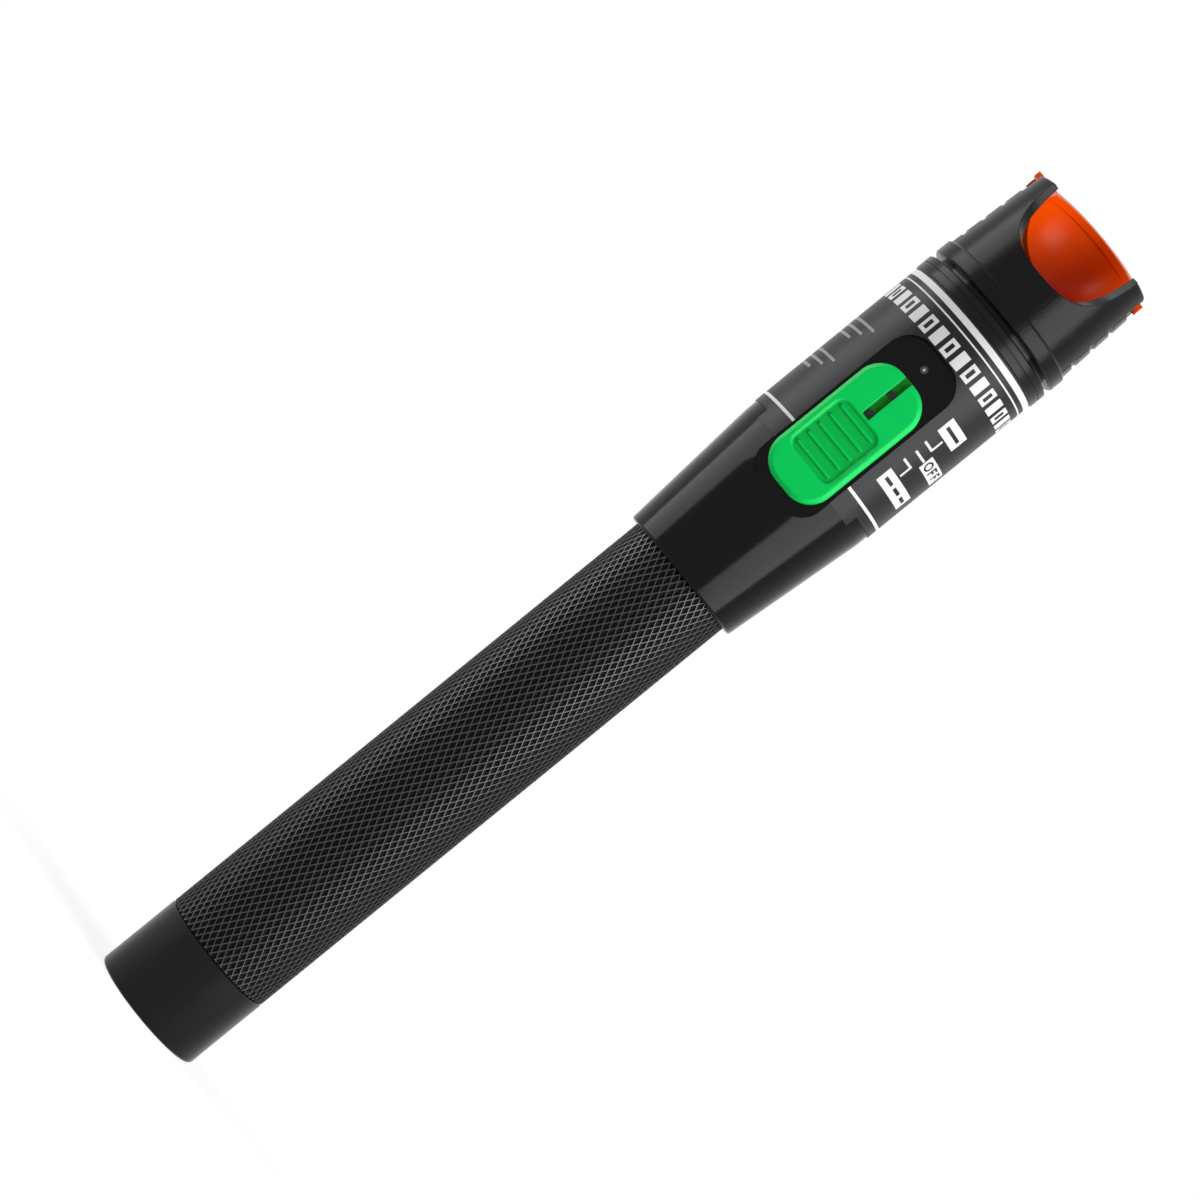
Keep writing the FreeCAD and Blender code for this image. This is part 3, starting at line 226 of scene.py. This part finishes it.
# %% [markdown]
# ## Moulded plastic
# The head, the nose, the slider and the visor are injection moulded. A mould's polish decides
# the shine: the head housing is polished, the sleeve is satin, and the nose is cut by sparks,
# which leaves a fine grain of little pits. One recipe serves them all. A coarse noise makes the
# faint waviness of a moulded wall, and a fine noise makes the grain.


# %% One recipe for moulded plastic
def moulded(name, colour, roughness, grain=0.25, grain_depth=0.0, wave_depth=0.004,
            uneven=0.15, specular=0.5, edge=0.12, **more):
    finish = Finish(name)
    wave = finish.noise(5.0, 1.0)
    pits = finish.noise(grain, 2.0, seed=3.0)
    tint = finish.blend(wave, rgb(*colour), rgb(*((1 + uneven) * c for c in colour)))
    wavy = finish.bump(wave, wave_depth, finish.soft_edges(edge))
    return finish.surface(
        Base_Color=tint,
        Roughness=roughness + 0.06 * pits,
        Normal=finish.bump(pits, grain_depth, wavy),
        Specular_IOR_Level=specular,
        **more,
    )


gloss_black = moulded("gloss_black", (0.0015, 0.0015, 0.0018), 0.11, 0.6, 0.0006, specular=0.12)
trim_black = moulded("trim_black", (0.003, 0.003, 0.0033), 0.22, 0.4, 0.0010, specular=0.15)
nose_black = moulded("nose_black", (0.0015, 0.0015, 0.0018), 0.17, 0.3, 0.034,
                     specular=0.13, edge=0.3)
visor_orange = moulded("visor_orange", (0.84, 0.075, 0.0), 0.26, 0.5, 0.0008, specular=0.09)
print("moulded finishes made")


# %% The slider is moulded in one green; its deeper channel and dish are painted darker green, as painted shade
CHANNEL_HALF_WIDTH, CHANNEL_LENGTH, CHANNEL_DEPTH = 0.72, 8.1, 0.25
DISH_TAIL, DISH_HEAD, DISH_HALF_WIDTH, DISH_DEPTH = 123.6, 134.4, 4.3, 0.18


def moulded_slider():
    finish = Finish("slider_green")
    x, y, z = finish.axes()
    low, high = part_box("thumb_slider")
    top = low.y / MM
    across = x.between(-CHANNEL_HALF_WIDTH, CHANNEL_HALF_WIDTH, 0.05)
    # painted shade: the channel is painted dark green where it lies deeper
    channel_painted_shade = across * z.step(high.z / MM - CHANNEL_LENGTH, 0.05) * y.step(top + CHANNEL_DEPTH, 0.1)
    dish = z.between(DISH_TAIL, DISH_HEAD, 0.6) * x.between(-DISH_HALF_WIDTH, DISH_HALF_WIDTH, 0.8)
    # painted shade: the dish is painted a darker green where it lies deeper
    hollow = y.step(top + DISH_DEPTH, 0.3) * dish
    body = finish.blend(hollow, rgb(0.0, 0.68, 0.115), rgb(0.0, 0.52, 0.075))
    cloud = finish.noise(4.0, 2.0)
    grain = finish.noise(0.25, 2.0)
    tint = finish.blend(0.12 * cloud, body, rgb(0.005, 0.78, 0.17))
    return finish.surface(
        Base_Color=finish.blend(channel_painted_shade, tint, rgb(0.0, 0.20, 0.004)),
        Roughness=0.36 + 0.08 * grain,
        Normal=finish.bump(grain, 0.0012, finish.soft_edges(0.4)),
        Specular_IOR_Level=0.16,
        Subsurface_Weight=0.05,
        Subsurface_Radius=(0.0002, 0.0012, 0.0004),
    )


slider_green = moulded_slider()
print("slider finish made")

# %% [markdown]
# ## The printed label
# The sleeve is a satin film-wrapped tube with white screen print: one ring at its tail, a fine
# and a broad ring at its head, and marks beside the switch. The print lies on one cylinder, so
# the angle round the pen and the height along it say where each mark is. No image is needed:
# every mark is a product of two bands, one round the pen and one along it.

# %% Where the marks are: degrees round the pen from +X, and millimetres along it
PRINT_WHITE = rgb(0.82, 0.82, 0.80)
LABEL_GREY = (0.009, 0.009, 0.0095)
RING_BANDS = [(126.3, 126.8), (152.75, 153.0), (153.8, 154.8)]
MARK_BANDS = [
    # forward: box, bracket
    (-52.5, -29.5, 141.5, 144.4), (-52.0, -42.3, 139.0, 139.4), (-43.6, -42.0, 139.0, 141.2),
    # off: tick, box
    (-50.8, -38.8, 137.15, 137.55), (-38.0, -8.5, 136.3, 138.8),
    # rearward: bracket, box
    (-52.0, -42.3, 135.1, 135.5), (-43.6, -42.0, 133.4, 135.5), (-53.0, -14.0, 130.3, 133.0),
]
CUT_OUTS = [
    # the two letters F of OFF: stem, upper arm, middle arm
    (-26.4, -24.7, 136.7, 138.4), (-26.4, -20.6, 138.05, 138.4), (-26.4, -21.6, 137.4, 137.75),
    (-18.0, -16.3, 136.7, 138.4), (-18.0, -12.2, 138.05, 138.4), (-18.0, -13.2, 137.4, 137.75),
    # a whole bar for steady light, and a broken one for flashing light
    (-49.5, -32.5, 142.65, 143.25),
    (-49.5, -41.0, 131.35, 131.95), (-37.5, -29.0, 131.35, 131.95), (-25.5, -17.0, 131.35, 131.95),
]
# the letter O of OFF: its middle, its half width in degrees and its half height
OVAL_ANGLE, OVAL_HEIGHT, OVAL_HALF_WIDTH, OVAL_HALF_HEIGHT = -32.2, 137.55, 3.9, 0.87
TITLE_LOW, TITLE_HIGH = 148.7, 151.5
TITLE_PITCH = 360 / 34
NOTICE_LINES = [(-178, -134, 143.4), (-178, -140, 141.9), (-174, -146, 140.4),
                (-178, -136, 136.4), (-178, -142, 134.9), (-174, -150, 133.4)]


def bands(marks, angle, z):
    """The sum of several marks, each a band of angles times a band of heights."""
    total = 0.0
    for start, end, low, high in marks:
        total = total + angle.between(start, end, 0.25) * z.between(low, high, 0.05)
    return total


def title_row(finish, angle, z):
    """A row of upright blocks round the head end, every second one hollow."""
    turn = (angle / TITLE_PITCH).math("FRACT")
    pair = (angle / (2 * TITLE_PITCH)).math("FRACT")
    block = turn.between(0.16, 0.84, 0.03) * z.between(TITLE_LOW, TITLE_HIGH, 0.05)
    hole = turn.between(0.36, 0.64, 0.03) * z.between(TITLE_LOW + 0.6, TITLE_HIGH - 0.6, 0.05)
    return block * (1 - hole * pair.step(0.5, 0.01))


def printed_label(name):
    finish = Finish(name)
    x, y, z = finish.axes()
    angle = finish.math("ARCTAN2", y, x) * (180 / math.pi)
    ink = title_row(finish, angle, z) + bands(MARK_BANDS, angle, z)
    for low, high in RING_BANDS:
        ink = ink + z.between(low, high, 0.05)
    across = (angle - OVAL_ANGLE) / OVAL_HALF_WIDTH
    along = (z - OVAL_HEIGHT) / OVAL_HALF_HEIGHT
    oval = (across * across + along * along).math("SQRT").between(0.62, 1.0, 0.06)
    ink = (ink - bands(CUT_OUTS, angle, z) - oval).math("MAXIMUM", 0.0).math("MINIMUM", 1.0)
    lines = [(start, end, low, low + 0.45) for start, end, low in NOTICE_LINES]
    notice = bands(lines, angle, z)
    grain = finish.noise(0.18, 2.0)
    cloud = finish.noise(7.0, 2.0)
    film = finish.blend(cloud, rgb(*LABEL_GREY), rgb(*(1.35 * c for c in LABEL_GREY)))
    film = finish.blend(0.35 * notice, film, PRINT_WHITE)
    worn = ink * (0.90 + 0.10 * grain)
    return finish.surface(
        Base_Color=finish.blend(worn, film, PRINT_WHITE),
        Roughness=0.34 + 0.08 * grain - 0.04 * ink,
        Normal=finish.bump(ink + 0.12 * grain, 0.010),
        Specular_IOR_Level=0.18,
    )


label_film = printed_label("label_film")
print("label printed with", len(RING_BANDS), "rings and", len(MARK_BANDS), "marks")

# %% [markdown]
# ## Metals, ceramic, rubber and what lies inside
# The inside shows when the cap is off and through the nose. Brass and steel are turned, so they
# carry fine rings; the spring and the contact plate are nickel plated; the ceramic sleeve is
# ground and almost smooth. Each inner piece still gets its own finish.


# %% Turned metals and plated sheet
def metal(name, colour, roughness, stretch=(0.05, 0.05, 1)):
    finish = Finish(name)
    lines = finish.noise(0.08, 3.0, stretch)
    stain = finish.noise(1.8, 3.0, seed=1.0)
    dull = rgb(*(0.72 * c for c in colour))
    return finish.surface(
        Base_Color=finish.blend(0.5 * stain, rgb(*colour), dull),
        Metallic=1.0,
        Roughness=roughness + 0.12 * lines + 0.10 * stain,
        Normal=finish.bump(lines, 0.0015),
    )


brass = metal("turned_brass", (0.78, 0.56, 0.24), 0.22)
steel = metal("turned_steel", (0.62, 0.62, 0.63), 0.24)
nickel = metal("plated_nickel", (0.74, 0.72, 0.68), 0.18, (1, 1, 1))
tin = metal("tinned_can", (0.66, 0.67, 0.68), 0.30, (1, 0.1, 1))
black_screw = metal("blackened_screw", (0.03, 0.03, 0.03), 0.34, (1, 1, 1))
print("metals made")


# %% Rubber, ceramic, ferrite and moulded inner pieces
rubber = moulded("seal_rubber", (0.014, 0.014, 0.014), 0.62, 0.15, 0.006, specular=0.3)
zirconia = moulded("ground_zirconia", (0.86, 0.86, 0.83), 0.16, 0.12, 0.0008)
ferrite = moulded("ferrite_core", (0.05, 0.05, 0.055), 0.50, 0.12, 0.008)
tan_chip = moulded("fired_capacitor", (0.42, 0.30, 0.19), 0.38, 0.10, 0.003)
chip_black = moulded("chip_black", (0.018, 0.018, 0.018), 0.48, 0.08, 0.004)
carrier_white = moulded("carrier_white", (0.62, 0.62, 0.59), 0.44, 0.3, 0.002)


def board_green():
    """Green lacquer over copper tracks, which show as slightly lighter straight bands."""
    finish = Finish("board_green")
    x, _, z = finish.axes()
    rows = (x * 1.1).math("FRACT").between(0.25, 0.65, 0.1)
    runs = (z * 0.31 + finish.noise(3.0) * 0.6).math("FRACT").between(0.2, 0.8, 0.1)
    track = rows * runs
    tint = finish.blend(track, rgb(0.008, 0.10, 0.035), rgb(0.02, 0.20, 0.07))
    return finish.surface(
        Base_Color=tint, Roughness=0.30 + 0.1 * finish.noise(0.4),
        Normal=finish.bump(track, 0.02),
    )


def cell_wrap():
    """A film-wrapped cell: a copper-coloured band at its positive end, dark blue below."""
    finish = Finish("cell_wrap")
    z = finish.axes()[2]
    along = ((z - CELL_TAIL) / CELL_PITCH).math("FRACT")
    top = along.step(0.72, 0.004)
    can = along.step(0.966, 0.002)
    film = finish.blend(top, rgb(0.012, 0.035, 0.13), rgb(0.62, 0.27, 0.11))
    scuff = finish.noise(0.8, 4.0, (1, 1, 0.2))
    return finish.surface(
        Base_Color=finish.blend(can, film, rgb(0.70, 0.70, 0.70)),
        Metallic=0.25 + 0.7 * can, Roughness=0.26 + 0.16 * scuff,
        Normal=finish.bump(scuff, 0.004),
    )


CELL_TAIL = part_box("cell_tail")[0].z / MM
CELL_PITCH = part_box("cell_front")[0].z / MM - CELL_TAIL


PAINTED_GLINT_RADIUS = 0.2


def smoked_lens_with_painted_glint():
    """A dark light pipe with a pale core, which is a painted highlight."""
    finish = Finish("smoked_lens_with_painted_glint")
    x, _, z = finish.axes()
    low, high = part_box("indicator_lens")
    middle = (low.z + high.z) / 2 / MM
    # painted highlight: the middle of the lens is painted pale, the rest dark
    core = (x * x + (z - middle) * (z - middle)).math("SQRT")
    core = core.step(PAINTED_GLINT_RADIUS, 0.06)
    return finish.surface(
        Base_Color=finish.blend(core, rgb(0.55, 0.55, 0.50), rgb(0.006, 0.006, 0.007)),
        Roughness=0.12 + 0.1 * finish.noise(0.4), Coat_Weight=0.4,
    )


def clear_lens():
    finish = Finish("clear_lens")
    haze = finish.noise(0.5, 2.0)
    return finish.surface(
        Base_Color=finish.blend(haze, rgb(0.94, 0.95, 0.96), rgb(0.82, 0.85, 0.88)),
        Roughness=0.04 + 0.08 * haze, Transmission_Weight=0.9, IOR=1.49,
    )


# %% Give each node its finish
FINISHES = {
    "anodised_cap": (anodised_cap, ["tail_cap"]),
    "seals": (rubber, ["tail_seal", "front_seal"]),
    "plated": (nickel, ["tail_contact_plate", "tail_spring", "laser_diode"]),
    "cells": (cell_wrap(), ["cell_tail", "cell_front"]),
    "housing": (gloss_black, ["head_housing"]),
    "label": (label_film, ["label_sleeve"]),
    "trim": (trim_black, ["trim_ring"]),
    "slider": (slider_green, ["thumb_slider"]),
    "screws": (black_screw, ["slider_screws"]),
    "switch": (tin, ["switch_body"]),
    "mouldings": (chip_black, ["switch_lever", "driver_chip", "contact_disc"]),
    "indicator": (smoked_lens_with_painted_glint(), ["indicator_lens"]),
    "optic": (clear_lens(), ["focus_optic"]),
    "carrier": (carrier_white, ["chassis"]),
    "board": (board_green(), ["circuit_board"]),
    "ferrite": (ferrite, ["boost_coil"]),
    "capacitors": (tan_chip, ["chip_capacitors"]),
    "brass": (brass, ["contact_stud", "laser_barrel", "optic_ring"]),
    "steel": (steel, ["port_body", "port_nut"]),
    "ceramic": (zirconia, ["ceramic_sleeve"]),
    "nose": (nose_black, ["nose_cap"]),
    "visor": (visor_orange, ["visor"]),
}


def wear(piece, material):
    """Put one material on a whole piece."""
    piece.data.materials.clear()
    piece.data.materials.append(material)


for material, names in FINISHES.values():
    for node_name in names:
        wear(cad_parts[node_name], material)
print("finished nodes:", sum(len(names) for _, names in FINISHES.values()))

# %% [markdown]
# ## The knurled tube
# A knurl is rolled: two toothed wheels press two families of lines into the tube. Here the
# lines stand up as fine ridges and the diamonds between them are pressed in, and the pits are
# painted dark as painted shade, which is why the tube looks like a bright net over black. One
# family leans about 28 degrees from the axis and the other about 31, so the diamonds lean a
# little. A bump map would leave the outline smooth, but the real outline is finely toothed. So
# the diamonds are real faces: each is a pit whose rim is shared with its neighbours, on a
# lattice of two slanting steps. The faces are shaded smooth, so each ridge is round on top and
# catches the light along its whole length.

# %% The knurl's two steps, in millimetres along the pen and round it
STARTS_LEFT, STARTS_RIGHT = 53, 56
STEP_ALONG, STEP_AROUND = 1.018, 0.553
PIT_RINGS = ((1.0, 0.0), (0.74, 0.07 * MM), (0.30, 0.26 * MM))  # share of the diamond, depth
PIT_DEPTH = PIT_RINGS[-1][1]
tube_low, tube_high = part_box("battery_tube")
tube_radius = tube_high.x
knurl_tail = tube_low.z
knurl_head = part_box("head_housing")[0].z
girth = 2 * math.pi * tube_radius
left_step = (STEP_ALONG * MM, STEP_AROUND * MM)
right_step = (
    left_step[0] * STARTS_LEFT / STARTS_RIGHT,
    (STARTS_LEFT * left_step[1] - girth) / STARTS_RIGHT,
)
print("diamond steps in mm:", [tuple(round(v / MM, 3) for v in s) for s in (left_step, right_step)])

# %% The knurl's finish: the crests are painted lighter, partly as handling wear and partly as a painted highlight, and the pits are painted near black and dull as painted shade
CREST_DEPTH = 0.035


def knurl_wear_and_painted_shade():
    finish = Finish("knurl_wear_and_painted_shade")
    x, y, _ = finish.axes()
    radius = (x * x + y * y).math("SQRT")
    crest = radius.step(tube_radius / MM - CREST_DEPTH, 0.04)
    rub = finish.noise(3.0, 3.0)
    # painted shade: the pits are painted near black and given a low specular level
    pit = finish.node("ShaderNodeBsdfPrincipled", None, {
        "Base Color": finish.blend(rub, rgb(0.0015, 0.0015, 0.0015), rgb(0.003, 0.003, 0.003)),
        "Roughness": 0.45, "Specular IOR Level": 0.06,
    })
    # the crests are painted lighter grey: partly handling wear, partly a painted highlight on the
    # ridges
    edge = finish.node("ShaderNodeBsdfPrincipled", None, {
        "Base Color": finish.blend(rub, rgb(0.03, 0.03, 0.031), rgb(0.055, 0.055, 0.057)),
        "Roughness": 0.24 + 0.12 * rub, "Specular IOR Level": 0.6,
    })
    finish.node_output(finish.node("ShaderNodeMixShader", None, {0: crest, 1: pit, 2: edge}))
    return finish.material



# %% Roll the knurl
def on_tube(along, around, depth):
    """A point on the tube from its height, its distance round and its depth below the skin."""
    angle = around / tube_radius
    radius = tube_radius - depth
    return Vector((radius * math.cos(angle), radius * math.sin(angle), along))


def lattice(i, j):
    along = knurl_tail + i * left_step[0] + j * right_step[0]
    return along, i * left_step[1] + j * right_step[1]


def diamond(mesh, i, j):
    """One pit between four ridge crossings, in rings that shrink as they go down."""
    rim = [lattice(i + a, j + b) for a, b in ((0, 0), (1, 0), (1, 1), (0, 1))]
    middle = lattice(i + 0.5, j + 0.5)
    rings = []
    for share, depth in PIT_RINGS:
        places = [[m + share * (p - m) for p, m in zip(place, middle)] for place in rim]
        rings.append([mesh.verts.new(on_tube(*place, depth)) for place in places])
    for outer, inner in zip(rings, rings[1:]):
        for k in range(4):
            n = (k + 1) % 4
            mesh.faces.new((outer[k], outer[n], inner[n], inner[k]))
    mesh.faces.new(rings[-1])


def roll_knurl():
    mesh = bmesh.new()
    reach = int((knurl_head - knurl_tail) / (left_step[0] + right_step[0])) + 1
    for i in range(-STARTS_LEFT, STARTS_LEFT + reach + 2):
        for j in range(-STARTS_RIGHT, STARTS_RIGHT + reach + 2):
            along, around = lattice(i + 0.5, j + 0.5)
            inside = knurl_tail - left_step[0] < along < knurl_head + left_step[0]
            if inside and 0 <= around < girth:
                diamond(mesh, i, j)
    bmesh.ops.remove_doubles(mesh, verts=mesh.verts, dist=0.01 * MM)
    for height, outward in ((knurl_tail, -1), (knurl_head, 1)):
        everything = mesh.verts[:] + mesh.edges[:] + mesh.faces[:]
        bmesh.ops.bisect_plane(
            mesh, geom=everything, plane_co=(0, 0, height),
            plane_no=(0, 0, outward), clear_outer=True,
        )
    return mesh


def finish_mesh(mesh, name, material, body, *replaced):
    """Turn a bmesh into a piece with a finish, riding on a body."""
    bmesh.ops.recalc_face_normals(mesh, faces=mesh.faces)
    data = bpy.data.meshes.new(name)
    mesh.to_mesh(data)
    mesh.free()
    piece = bpy.data.objects.new(name, data)
    bpy.context.scene.collection.objects.link(piece)
    wear(piece, material)
    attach(piece, body)
    if replaced:
        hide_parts(*replaced)
    return piece


knurl = finish_mesh(roll_knurl(), "knurled_skin", knurl_wear_and_painted_shade(), "housing", "battery_tube")
for face in knurl.data.polygons:
    face.use_smooth = True
print("knurl faces:", len(knurl.data.polygons))

# %% [markdown]
# ## Turned pieces
# A turned piece is one outline spun round the pen's axis. Writing the outline as (radius, height)
# pairs keeps the sizes in view. Sharp corners stay sharp, and small chamfers catch the light.


# %% Spin an outline
def no_cut(radius, height, angle):
    return 0.0


def spin(outline, cut=no_cut, segments=128):
    """Faces from a closed outline of (radius, height) pairs, less a cut at each place, in mm."""
    mesh = bmesh.new()
    rings = []
    for radius, height in outline:
        ring = []
        for k in range(segments):
            angle = 2 * math.pi * k / segments
            reach = (radius - cut(radius, height, angle)) * MM
            place = (reach * math.cos(angle), reach * math.sin(angle), height * MM)
            ring.append(mesh.verts.new(place))
        rings.append(ring)
    for index, ring in enumerate(rings):
        following = rings[(index + 1) % len(rings)]
        for k in range(segments):
            n = (k + 1) % segments
            mesh.faces.new((ring[k], ring[n], following[n], following[k]))
    bmesh.ops.remove_doubles(mesh, verts=mesh.verts, dist=0.001 * MM)
    return mesh


def smooth_turned(piece):
    """Round faces shade as one, and edges sharper than 30 degrees stay sharp."""
    for face in piece.data.polygons:
        face.use_smooth = True
    piece.data.set_sharp_from_angle(angle=math.radians(30))


skin_r = (tube_radius - PIT_DEPTH) / MM - 0.02
tail_z, head_z, neck_z = knurl_tail / MM, knurl_head / MM, tube_high.z / MM
core_outline = [
    (9.0, tail_z), (skin_r, tail_z), (skin_r, head_z), (9.3, head_z), (9.3, neck_z),
    (7.8, neck_z), (7.8, tail_z + 10.4), (9.0, tail_z + 10.4),
]
core = finish_mesh(spin(core_outline), "tube_core", anodised_core, "housing", "battery_tube")
print("core faces:", len(core.data.polygons))

# %% [markdown]
# ## The tail cap and its thread
# The cap screws into the tube. Its spigot carries a rubber ring in a groove and, above that, a
# right-hand thread. A thread is one helix, so the height of its crest grows by one pitch a turn.
# Cutting it as real faces keeps the toothed outline when the cap is unscrewed. The same
# outline that turns the cap is used, and each place on the spigot sinks by the thread's depth
# there. The depth fades out at both ends, as where the cutting tool runs out.

# %% Turn the cap and cut its thread
THREAD_PITCH, THREAD_DEPTH, RUN_OUT = 1.0, 0.45, 0.6
THREAD_RINGS = 64
cap_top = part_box("tail_cap")[1].z / MM
cap_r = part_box("tail_cap")[1].x / MM
seal_low, seal_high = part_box("tail_seal")
SPIGOT_R, GROOVE_R, CELL_BORE_R, CAP_FLOOR, CAP_SHOULDER = 8.95, 8.1, 7.55, 2.5, 13.45
EDGE_ROUND, EDGE_BREAK, SIDE_ROOM = 0.6, 0.25, 0.2
groove_low, groove_high = seal_low.z / MM - SIDE_ROOM, seal_high.z / MM + SIDE_ROOM
thread_low, thread_high = groove_high + 0.3, cap_top - EDGE_BREAK


def thread_cut(radius, height, angle):
    if radius != SPIGOT_R or not thread_low < height < thread_high:
        return 0.0
    wave = (height / THREAD_PITCH - angle / (2 * math.pi)) % 1
    fade = min(1.0, (height - thread_low) / RUN_OUT, (thread_high - height) / RUN_OUT)
    return THREAD_DEPTH * fade * abs(2 * wave - 1)


rounding = [math.radians(15 * k) for k in range(7)]
cap_outline = [(0.0, 0.0)]
cap_outline += [(cap_r - EDGE_ROUND * (1 - math.sin(a)), EDGE_ROUND * (1 - math.cos(a)))
                for a in rounding]
cap_outline += [
    (cap_r, CAP_SHOULDER - EDGE_BREAK), (cap_r - EDGE_BREAK, CAP_SHOULDER),
    (SPIGOT_R, CAP_SHOULDER), (SPIGOT_R, groove_low), (GROOVE_R, groove_low),
    (GROOVE_R, groove_high), (SPIGOT_R, groove_high),
]
thread_step = (thread_high - thread_low) / THREAD_RINGS
cap_outline += [(SPIGOT_R, thread_low + k * thread_step) for k in range(THREAD_RINGS + 1)]
cap_outline += [
    (SPIGOT_R - EDGE_BREAK, cap_top), (CELL_BORE_R, cap_top),
    (CELL_BORE_R, CAP_FLOOR), (0.0, CAP_FLOOR),
]
cap_mesh = spin(cap_outline, thread_cut)
cap = finish_mesh(cap_mesh, "threaded_cap", anodised_cap, "tail_cap", "tail_cap")
smooth_turned(cap)
print("cap faces:", len(cap.data.polygons))

# %% [markdown]
# ## Studio
# The pen stands on a pale floor against white. Two tall soft boxes stand beside it, left and
# right, and leave its middle dark: black glossy things are shown by what they reflect. The floor
# is white where it is far from the pen, and keeps the pen's soft shadow close by.

# %% Floor
FLOOR_RADIUS = 3.0
floor_mesh = bmesh.new()
bmesh.ops.create_circle(floor_mesh, cap_ends=True, segments=96, radius=FLOOR_RADIUS)
floor_data = bpy.data.meshes.new("floor")
floor_mesh.to_mesh(floor_data)
floor_mesh.free()
floor = bpy.data.objects.new("floor", floor_data)
bpy.context.scene.collection.objects.link(floor)


def seen_rays(finish):
    """1 for rays that see the background: straight, mirrored or through glass; else 0."""
    rays = finish.node("ShaderNodeLightPath").socket.node.outputs
    names = ("Is Camera Ray", "Is Glossy Ray", "Is Transmission Ray")
    straight, mirrored, through = [Wire(finish, rays[name]) for name in names]
    return (straight + mirrored + through).math("MINIMUM", 1.0)


FLOOR_COLOUR = (0.40, 0.40, 0.40)
FLOOR_GLOW = 0.78
WHITE_FROM, WHITE_OVER = 150.0, 240.0  # where the floor turns white, and over what width


def floor_paint():
    """Grey paint to the light; where it is seen it also glows, and is white far from the pen."""
    finish = Finish("floor_paint")
    x, y, _ = finish.axes()
    far = (x * x + y * y).math("SQRT").step(WHITE_FROM, WHITE_OVER)
    paint = finish.node("ShaderNodeBsdfDiffuse", None, {"Color": rgb(*FLOOR_COLOUR)})
    glow = finish.node("ShaderNodeEmission", None, {"Color": rgb(1, 1, 1), "Strength": FLOOR_GLOW})
    white = finish.node("ShaderNodeEmission", None, {"Color": rgb(1, 1, 1), "Strength": 1.0})
    both = finish.node("ShaderNodeAddShader", None, {0: paint, 1: glow})
    eye = finish.node("ShaderNodeMixShader", None, {0: far, 1: both, 2: white})
    mask = seen_rays(finish)
    finish.node_output(finish.node("ShaderNodeMixShader", None, {0: mask, 1: paint, 2: eye}))
    return finish.material


wear(floor, floor_paint())
print("floor laid")

# %% [markdown]
# ### The room
# The backdrop is white. It could be made white with more lamps, but then the pen would be
# overlit too. So the world is split by the kind of ray: pure white straight to the eye, in
# mirror reflections and through glass, and an even grey as the light that falls on the pen.
# The black finishes mirror that white only faintly, so they stay black in the middle and pale
# towards their edges, as polished black plastic does on a white table.

# %% World
world = bpy.data.worlds.new("studio")
bpy.context.scene.world = world
world.use_nodes = True
world.node_tree.nodes.clear()


class Room(Finish):
    """The world, made with the same helpers as a finish."""

    def __init__(self, owner):
        self.material = owner
        self.tree = owner.node_tree

    def backdrop(self, level):
        sockets = {"Color": rgb(1, 1, 1), "Strength": level}
        return self.node("ShaderNodeBackground", None, sockets)

    def mix(self, factor, first, second):
        return self.node("ShaderNodeMixShader", None, {0: factor, 1: first, 2: second})


ROOM_LEVEL = 0.14
room = Room(world)
sky = room.mix(seen_rays(room), room.backdrop(ROOM_LEVEL), room.backdrop(1.0))
end = world.node_tree.nodes.new("ShaderNodeOutputWorld")
world.node_tree.links.new(sky.socket, end.inputs["Surface"])
bpy.context.scene.view_settings.view_transform = "Standard"
print("world made")

# %% Camera: a long lens square to the pen, rolled so that the pen leans
VIEW_AZIMUTH = math.radians(4.5)
CAMERA_DISTANCE = 0.580
LENS = 119.6
CAMERA_HEIGHT = 0.0889
CAMERA_ASIDE = -0.00465
LEAN = math.atan2(0.6315, 0.7753)
across = Vector((math.cos(VIEW_AZIMUTH), math.sin(VIEW_AZIMUTH), 0))
away = Vector((-math.sin(VIEW_AZIMUTH), math.cos(VIEW_AZIMUTH), 0))
upright = Vector((0, 0, 1))
right = math.cos(LEAN) * upright + math.sin(LEAN) * across
up = math.sin(LEAN) * upright - math.cos(LEAN) * across
camera_data = bpy.data.cameras.new("camera")
camera_data.lens = LENS
camera_data.clip_start = 0.01
camera = bpy.data.objects.new("camera", camera_data)
bpy.context.scene.collection.objects.link(camera)
turn = Matrix((right, up, -away)).transposed().to_4x4()
spot = CAMERA_ASIDE * across - CAMERA_DISTANCE * away + CAMERA_HEIGHT * upright
camera.matrix_world = Matrix.Translation(spot) @ turn
bpy.context.scene.camera = camera
print("camera at", [round(v, 4) for v in spot])


# %% Two soft boxes
def soft_box(name, azimuth, distance, width, height, level, tall=0.09):
    """An area light beside the pen; azimuth 0 is the camera's side, positive to its right."""
    turn_angle = VIEW_AZIMUTH + math.radians(azimuth)
    back = Vector((math.sin(turn_angle), -math.cos(turn_angle), 0))
    data = bpy.data.lights.new(name, "AREA")
    data.shape = "RECTANGLE"
    data.size, data.size_y = width, height
    data.energy = level * math.pi * width * height
    lamp = bpy.data.objects.new(name, data)
    bpy.context.scene.collection.objects.link(lamp)
    place = distance * back + tall * upright
    facing = back.to_track_quat("Z", "Y").to_matrix().to_4x4()
    lamp.matrix_world = Matrix.Translation(place) @ facing
    return lamp


BOX_DISTANCE, BOX_HEIGHT = 0.7, 1.3
soft_box("box_right", 58, BOX_DISTANCE, 0.60, BOX_HEIGHT, 5.5)
soft_box("box_left", -90, BOX_DISTANCE, 0.50, BOX_HEIGHT, 4.2)
